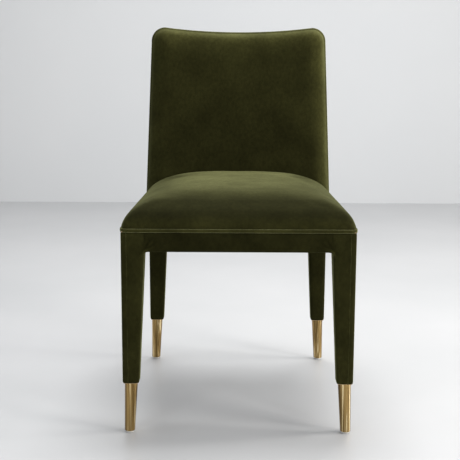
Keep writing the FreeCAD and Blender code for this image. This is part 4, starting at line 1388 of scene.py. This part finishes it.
@dataclass
class BackCushion:
    """The back's padded front: a closed cap of foam and velvet over the posts and rails."""

    front_round: float = 0.034
    rear_round: float = 0.0025
    panel: float = 0.0027
    rim: float = 0.0125
    base: float = SIZES.deck + 0.0002
    frame_depth: float = 0.0385
    dip_reach: float = 0.16
    # painted highlights on the crest and the right side, and how fast they fade
    crest_painted_highlight: float = 5.8
    crest_highlight_fade: float = 0.013
    dip_highlight_fade: float = 0.016
    right_painted_highlight: float = 4.6
    right_highlight_fade: float = 0.014
    most_painted_highlight: float = 5.5
    cuts: int = 40
    voxel: float = 0.0048
    pressure: float = 4.0
    cap: float = 0.0022

    @staticmethod
    def corner_middle() -> float:
        """The place across where the crest's rounded corner begins."""
        return SIZES.back_half(SIZES.top - SIZES.corner_radius) - SIZES.corner_radius

    def lowered(self, across: float, z: float) -> float:
        """How far the dip of the crest lowers the outline.

        Args:
            across: the distance from the middle.
            z: the height.

        Returns:
            The drop, which fades out down the back.
        """
        dip = SIZES.crest_dip * max(0.0, 1 - (across / self.corner_middle()) ** 2)
        return dip * ease((z - (SIZES.top - self.dip_reach)) / self.dip_reach)

    def outline(self, u: float, w: float, base: float) -> tuple[float, float, float, Vector]:
        """Where a share of the back's front view lies on its outline.

        Args:
            u: from the left side to the right, -1 to 1.
            w: from the bottom to the top, -1 to 1.
            base: the height of the bottom.

        Returns:
            The place across, the height, the distance to the edge and the inward direction.
        """
        radius = SIZES.corner_radius
        z = base + (SIZES.top - base) * (w + 1) / 2
        x = abs(u) * SIZES.back_half(min(z, SIZES.top - radius))
        middle = self.corner_middle()
        over, up = x - middle, z - (SIZES.top - radius)
        if over > 0 and up > 0:
            shrink = max(over, up) / math.hypot(over, up)
            x, z = middle + over * shrink, SIZES.top - radius + up * shrink
            over, up = over * shrink, up * shrink
            edge = radius - math.hypot(over, up)
            inward = Vector((-over, -up)).normalized()
        else:
            side, crest = SIZES.back_half(z) - x, SIZES.top - z
            edge = min(side, crest)
            inward = Vector((-1, 0)) if side < crest else Vector((0, -1))
        return x, z - self.lowered(x, z), edge, inward

    def place(self, u: float, v: float, w: float) -> tuple:
        """Where a point of the cube goes.

        Args:
            u: from the left side to the right.
            v: from the front to the rear.
            w: from the bottom to the top.

        Returns:
            The point.
        """
        x, z, edge, inward = self.outline(u, w, self.base)
        thick = SIZES.back_thickness(z) - self.panel
        depth = thick * (v + 1) / 2
        for radius, into in ((self.front_round, depth), (self.rear_round, thick - depth)):
            if edge < radius and into < radius:
                rest = (radius - edge, radius - into)
                shrink = max(rest) / math.hypot(*rest)
                move = (radius - rest[0] * shrink) - edge
                x, z = x + inward.x * move, z + inward.y * move
                into = radius - rest[1] * shrink
                depth = into if radius == self.front_round else thick - into
                break
        if v > 0.999 and edge > self.rim:
            depth = thick - (self.frame_depth - self.panel) * ease((edge - self.rim) / 0.006)
        y = SIZES.front_face(x, z) + depth
        return math.copysign(x, u), y, z

    def edge_at(self, x: float, z: float) -> tuple[float, Vector]:
        """The outline's nearest edge.

        Args:
            x: a place across the back.
            z: a height.

        Returns:
            The distance to the edge and the outward direction across and up.
        """
        radius, across = SIZES.corner_radius, abs(x)
        z += self.lowered(across, z)
        over, up = across - self.corner_middle(), z - (SIZES.top - radius)
        if over > 0 and up > 0:
            return radius - math.hypot(over, up), Vector((math.copysign(over, x), up)).normalized()
        side, crest = SIZES.back_half(z) - across, SIZES.top - z
        if side <= crest:
            return side, Vector((math.copysign(1.0, x), 0.0))
        return crest, Vector((0.0, 1.0))

    def trim(self, item: bpy.types.Object) -> None:
        """Pulls the sides, the crest and the rear edge taut over the frame again.

        Args:
            item: the cushion.
        """
        for vertex in item.data.vertices:
            spot = vertex.co
            depth = spot.y - SIZES.front_face(spot.x, spot.z)
            thick = SIZES.back_thickness(spot.z) - self.panel
            edge, outward = self.edge_at(spot.x, spot.z)
            taut = ease((depth - self.front_round + 0.012) / 0.010)
            if edge < 0.0065 and taut > 0:
                spot.x += outward.x * edge * taut
                spot.z += outward.y * edge * taut
            if edge < self.rim - 0.003 and thick - depth < 0.009:
                spot.y = SIZES.front_face(spot.x, spot.z) + thick
            if spot.z < self.base + 0.005:
                spot.z = self.base

    def nap_and_painted_light(self, place: Vector) -> float:
        """Painted light in the nap attribute: a painted highlight along the crest and on both sides, stronger
        on the right, fading towards the rear, lighter towards the top with painted shade near the seat, and a
        random wander.

        Args:
            place: a point of the cushion.

        Returns:
            The value of the nap attribute.
        """
        up = SIZES.up_the_back(place.z)
        dip = SIZES.crest_dip * max(0.0, 1 - (place.x / 0.19) ** 2)
        crest = max(0.0, SIZES.top - dip - place.z)
        side = max(0.0, SIZES.back_half(place.z) - abs(place.x))
        fade = self.crest_highlight_fade + self.dip_highlight_fade * math.exp(-((place.x / 0.09) ** 2))
        # painted highlight along the crest and on both sides
        painted_highlight = self.crest_painted_highlight * math.exp(-crest / fade)
        painted_highlight += 1.4 * math.exp(-side / 0.035)
        # a stronger painted highlight on the right side, where the light falls
        if place.x > 0:
            painted_highlight += self.right_painted_highlight * math.exp(-side / self.right_highlight_fade)
        depth = place.y - SIZES.front_face(place.x, place.z)
        painted_highlight *= 1 - 0.8 * ease((depth - 0.008) / 0.022)
        # painted light: lighter towards the top, painted shade near the seat
        return min(self.most_painted_highlight, painted_highlight) - 0.15 + 0.75 * up**2 + 0.35 * noise.noise(place * 9.0)

    def held(self, place: Vector) -> bool:
        """Whether the cloth is fastened there.

        Args:
            place: a point of the cushion.

        Returns:
            True for its rear and its bottom.
        """
        behind = place.y - SIZES.front_face(place.x, place.z)
        return behind > 0.040 or place.z < SIZES.padding_base + 0.008

    def build(self) -> bpy.types.Object:
        """Models the cushion.

        Returns:
            The cushion.
        """
        item = Shape.block("back_cushion", self.cuts, self.place)
        Shape.tidy(item)
        Shape.remesh(item, self.voxel, 3)
        Shape.swell(item, self.held, self.pressure, self.cap)
        Shape.modify(item, "SUBSURF", levels=1, render_levels=1)
        self.trim(item)
        Shape.modify(item, "SMOOTH", factor=0.5, iterations=2)
        Shape.paint_nap_and_light(item, self.nap_and_painted_light)
        return settle(item, Finish.VELVET, "back_cover_front", "back_wadding", "back_foam")


@dataclass
class BackPanel:
    """The velvet on the back's rear, hemmed under the rear rail."""

    cushion: BackCushion
    inset: float = 0.0008
    rim_round: float = 0.0012
    puff: float = 0.0010
    wrap: float = 0.0042
    cuts: int = 44

    def place(self, u: float, v: float, w: float) -> tuple:
        """Where a point of the cube goes.

        Args:
            u: from the left side to the right.
            v: from the front to the rear.
            w: from the bottom to the top.

        Returns:
            The point.
        """
        x, z, edge, inward = self.cushion.outline(u, w, SIZES.underside)
        x, z = x + inward.x * self.inset, z + inward.y * self.inset * (w + 1) / 2
        narrow = (SIZES.back_base_half - SIZES.half_rear) * (1 - ease((z - SIZES.seam + 0.001) / 0.003))
        x -= narrow * min(1.0, abs(u) ** 6)
        thick = SIZES.cover - 0.0001
        edge = min(edge, z - SIZES.underside)
        rise = (v + 1) / 2
        away = rise * thick + self.puff * rise * ease(edge / 0.05)
        if edge < self.rim_round:
            rest = 1 - edge / self.rim_round
            away -= rise * self.rim_round * (1 - math.sqrt(max(0.0, 1 - rest**2)))
        y = SIZES.rear_face(x, z) - thick + away - (1 - rise) * self.wrap * (edge < 1e-5)
        return math.copysign(x, u), y, z

    def build(self) -> bpy.types.Object:
        """Models the panel.

        Returns:
            The panel.
        """
        item = Shape.block("back_panel", self.cuts, self.place)
        Shape.tidy(item)
        return settle(item, Finish.VELVET, "back_cover_rear")


@dataclass
class DustSheet:
    """The black cloth stapled under the rails, notched round the legs, sagging a little."""

    inset: float = 0.010
    notch: float = 0.051
    thick: float = 0.0007
    sag: float = 0.0045
    columns: int = 92
    rows: int = 106

    def build(self) -> bpy.types.Object:
        """Models the cloth.

        Returns:
            The cloth.
        """
        near, far = SIZES.front + self.inset, SIZES.rear - self.inset

        def place(across: float, along: float) -> tuple:
            """Where a point of the cloth goes.

            Args:
                across: from left to right, 0 to 1.
                along: from front to rear, 0 to 1.

            Returns:
                The point.
            """
            y = near + (far - near) * along
            half = SIZES.side(y) - self.inset
            x = half * (2 * across - 1)
            hang = math.sin(math.pi * across) * math.sin(math.pi * along)
            ripple = noise.noise(Vector((x * 14, y * 14, 0.7))) * 0.0006
            return x, y, SIZES.underside - 0.0002 - self.sag * hang**1.5 + ripple * hang

        item = Shape.sheet("dust_sheet", self.columns, self.rows, place)

        def in_notch(centre: Vector, _normal: Vector) -> bool:
            """Whether a face lies where a leg comes down.

            Args:
                centre: the face's centre.
                _normal: its normal, which doesn't matter here.

            Returns:
                True for the faces that are cut out.
            """
            front = centre.y < 0
            depth = centre.y - SIZES.front if front else SIZES.rear - centre.y
            half = SIZES.half_front if front else SIZES.half_rear
            return depth < self.notch and half - abs(centre.x) < self.notch

        Shape.drop_faces(item, in_notch)
        Shape.modify(item, "SOLIDIFY", thickness=self.thick, offset=0.0)
        return settle(item, Finish.DUST_CLOTH, "dust_cover")


# ---------------------------------------------------------------- feet


@dataclass
class Foot:
    """One brass ferrule with its nylon glide."""

    front: bool
    side: int
    top: float = SIZES.ferrule_top
    glide: float = 0.004
    top_width: float = 0.0284
    foot_width: float = 0.0224
    top_inset: float = 0.0177
    foot_inset: float = 0.0137
    glide_width: float = 0.017
    sides: int = 64

    @property
    def name(self) -> str:
        """The corner's name."""
        return f"{'front' if self.front else 'rear'}_{'right' if self.side > 0 else 'left'}"

    def centre(self, z: float) -> tuple[float, float]:
        """The ferrule's axis, which slants a little.

        Args:
            z: the height.

        Returns:
            The axis's x and y there.
        """
        share = (z - self.glide) / (self.top - self.glide)
        inset = self.foot_inset + (self.top_inset - self.foot_inset) * share
        half = SIZES.half_front if self.front else SIZES.half_rear
        y = SIZES.front + inset if self.front else SIZES.rear - inset
        return self.side * (half - inset), y

    def radius(self, z: float) -> float:
        """The ferrule's radius.

        Args:
            z: the height.

        Returns:
            The radius there.
        """
        share = (z - self.glide) / (self.top - self.glide)
        return (self.foot_width + (self.top_width - self.foot_width) * share) / 2

    def turned(self, name: str, profile: list[tuple[float, float]]) -> bpy.types.Object:
        """A form turned about the ferrule's axis.

        Args:
            name: the object's name.
            profile: pairs of radius and height, from the first ring to the last.

        Returns:
            The new object.
        """
        last = len(profile) - 1

        def place(around: float, along: float) -> tuple:
            """Where a point of the turned form goes.

            Args:
                around: how far round the axis, 0 to 1.
                along: how far along the profile, 0 to 1.

            Returns:
                The point.
            """
            radius, z = profile[round(along * last)]
            x, y = self.centre(z)
            angle = around * 2 * math.pi
            return x + radius * math.cos(angle), y + radius * math.sin(angle), z

        return Shape.sheet(name, self.sides, last, place)

    def build(self) -> None:
        """Models the ferrule and the glide."""
        lip, wall = 0.0008, 0.0012
        outer = []
        for sine, cosine in quarter_turn(6):
            z = self.glide + lip * (1 - cosine)
            outer.append((self.radius(z) - lip * (1 - sine), z))
        for step in range(1, 24):
            z = self.glide + lip + (self.top - self.glide - 2 * lip) * step / 24
            outer.append((self.radius(z), z))
        for sine, cosine in quarter_turn(6):
            z = self.top - lip * (1 - sine)
            outer.append((self.radius(z) - lip * (1 - cosine), z))
        floor = self.glide + 0.002
        inner = [(self.radius(z) - wall, z) for z in (self.top - 0.0001, (self.top + floor) / 2, floor)]
        skin = self.turned(f"ferrule_{self.name}_brass", [(0.0, self.glide), *outer, *inner, (0.0, floor)])
        settle(skin, Finish.BRASS, f"ferrule_{self.name}")
        edge, half = 0.0012, self.glide_width / 2
        profile = [(0.0, 0.0), (half - edge, 0.0)]
        for sine, cosine in quarter_turn(6)[1:]:
            profile.append((half - edge + edge * sine, edge * (1 - cosine)))
        profile += [(half, self.glide - 0.0001), (0.0, self.glide - 0.0001)]
        pad = self.turned(f"glide_{self.name}_nylon", profile)
        settle(pad, Finish.NYLON, f"glide_{self.name}")


# ---------------------------------------------------------------- inner parts and studio


class InnerParts:
    """The frame's own nodes, which keep their shape and get their finishes."""

    FINISHES = {
        "glide_nails": Finish.STEEL,
        "corner_block_screws": Finish.STEEL,
        "staples": Finish.STEEL,
        "webbing": Finish.WEBBING,
        "foam": Finish.FOAM,
        "wadding": Finish.WADDING,
        "rear_padding": Finish.WADDING,
        "back_board": Finish.HARDBOARD,
        "tack_strips": Finish.HARDBOARD,
        "dust_cover": Finish.DUST_CLOTH,
        "cover": Finish.VELVET,
        "seat_seam": Finish.VELVET,
        "ferrule": Finish.BRASS,
        "glide": Finish.NYLON,
    }

    def finish_of(self, name: str) -> Finish:
        """The finish of a node.

        Args:
            name: the node's name.

        Returns:
            Its finish; beech if no other is named.
        """
        return next((finish for key, finish in self.FINISHES.items() if key in name), Finish.BEECH)

    def build(self) -> None:
        """Dresses every node."""
        for name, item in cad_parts.items():
            item.data.materials.clear()
            item.data.materials.append(self.finish_of(name).material())


@dataclass(frozen=True)
class Lamp:
    """One soft rectangular lamp: where it stands, its width and height, its watts and its colour."""

    name: str
    place: tuple[float, float, float]
    size: tuple[float, float]
    power: float
    colour: Colour

    def light(self, target: Vector) -> None:
        """Makes the lamp.

        Args:
            target: what it points at.
        """
        data = bpy.data.lights.new(self.name, "AREA")
        data.shape = "RECTANGLE"
        data.size, data.size_y = self.size
        data.energy = self.power
        data.color = self.colour
        lamp = bpy.data.objects.new(self.name, data)
        bpy.context.scene.collection.objects.link(lamp)
        turn = (target - Vector(self.place)).to_track_quat("-Z", "Y").to_matrix().to_4x4()
        lamp.matrix_world = Matrix.Translation(self.place) @ turn


@dataclass
class Studio:
    """Camera, soft lights and a pale floor around the chair."""

    LAMPS = (
        Lamp("key", (2.1, -1.15, 2.2), (0.7, 0.7), 26, (1.0, 0.98, 0.94)),
        Lamp("side", (3.3, -0.1, 1.3), (1.1, 1.1), 95, (1.0, 0.98, 0.95)),
        Lamp("overhead", (0.15, 0.85, 3.3), (1.9, 1.9), 112, (1.0, 1.0, 1.0)),
        Lamp("strip_right", (1.7, -2.1, 0.75), (0.35, 1.5), 12, (1.0, 0.99, 0.96)),
        Lamp("strip_left", (-1.35, -2.3, 0.75), (0.35, 1.5), 10, (0.95, 0.98, 1.0)),
        Lamp("fill", (-2.4, -0.6, 1.5), (1.2, 1.2), 9, (0.93, 0.97, 1.0)),
    )

    focal_mm: float = 74.27
    sensor_mm: float = 36.0
    eye: tuple = (-0.0103, -2.2588, 0.787)
    pitch: float = 0.172
    yaw: float = 0.004
    roll: float = 0.004
    aim_height: float = 0.45
    room: float = 14.0
    wall_behind: float = 3.2

    def camera(self) -> None:
        """Makes the camera."""
        data = bpy.data.cameras.new("studio_camera")
        data.lens = self.focal_mm
        data.sensor_width = self.sensor_mm
        camera = bpy.data.objects.new("studio_camera", data)
        bpy.context.scene.collection.objects.link(camera)
        turn = (
            Matrix.Rotation(self.yaw, 4, "Z")
            @ Matrix.Rotation(math.pi / 2 - self.pitch, 4, "X")
            @ Matrix.Rotation(self.roll, 4, "Z")
        )
        camera.matrix_world = Matrix.Translation(self.eye) @ turn
        bpy.context.scene.camera = camera

    def surroundings(self) -> None:
        """Makes the floor, the wall and the even light of the room."""
        bpy.ops.object.select_all(action="DESELECT")
        bpy.ops.mesh.primitive_plane_add(size=self.room, location=(0, 0, 0))
        floor = Shape.name(bpy.context.active_object, "studio_floor")
        tones = ((0.49, 0.495, 0.50), (0.54, 0.54, 0.545))
        recipe = Speckled("studio_floor", *tones, 1.4, relief=0.0, roughness=0.4, gloss=0.22)
        floor.data.materials.append(recipe.build())
        upright = (math.pi / 2, 0, 0)
        bpy.ops.mesh.primitive_plane_add(size=self.room, location=(0, self.wall_behind, 0), rotation=upright)
        bpy.ops.object.transform_apply(location=True, rotation=True, scale=True)
        wall = Shape.name(bpy.context.active_object, "studio_wall")
        tones = ((0.62, 0.63, 0.64), (0.66, 0.665, 0.67))
        recipe = Speckled("studio_wall", *tones, 0.8, relief=0.0, roughness=0.8)
        wall.data.materials.append(recipe.build())
        world = bpy.data.worlds.new("studio_world")
        world.use_nodes = True
        background = world.node_tree.nodes["Background"]
        background.inputs["Color"].default_value = (0.93, 0.96, 1.0, 1.0)
        background.inputs["Strength"].default_value = 0.34
        bpy.context.scene.world = world

    def build(self) -> None:
        """Sets up the whole studio."""
        self.camera()
        self.surroundings()
        for lamp in self.LAMPS:
            lamp.light(Vector((0.0, 0.0, self.aim_height)))
        bpy.context.scene.view_settings.view_transform = "Standard"


def main() -> None:
    """Builds the whole scene in order."""
    logging.basicConfig(level=logging.INFO, format="%(message)s")
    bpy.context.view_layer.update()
    InnerParts().build()
    FrameCover().build()
    SeatCushion().build()
    SeatSeam().build()
    cushion = BackCushion()
    cushion.build()
    BackPanel(cushion).build()
    DustSheet().build()
    for front in (True, False):
        for side in (-1, 1):
            Foot(front, side).build()
    Studio().build()


if __name__ == "__main__":
    main()
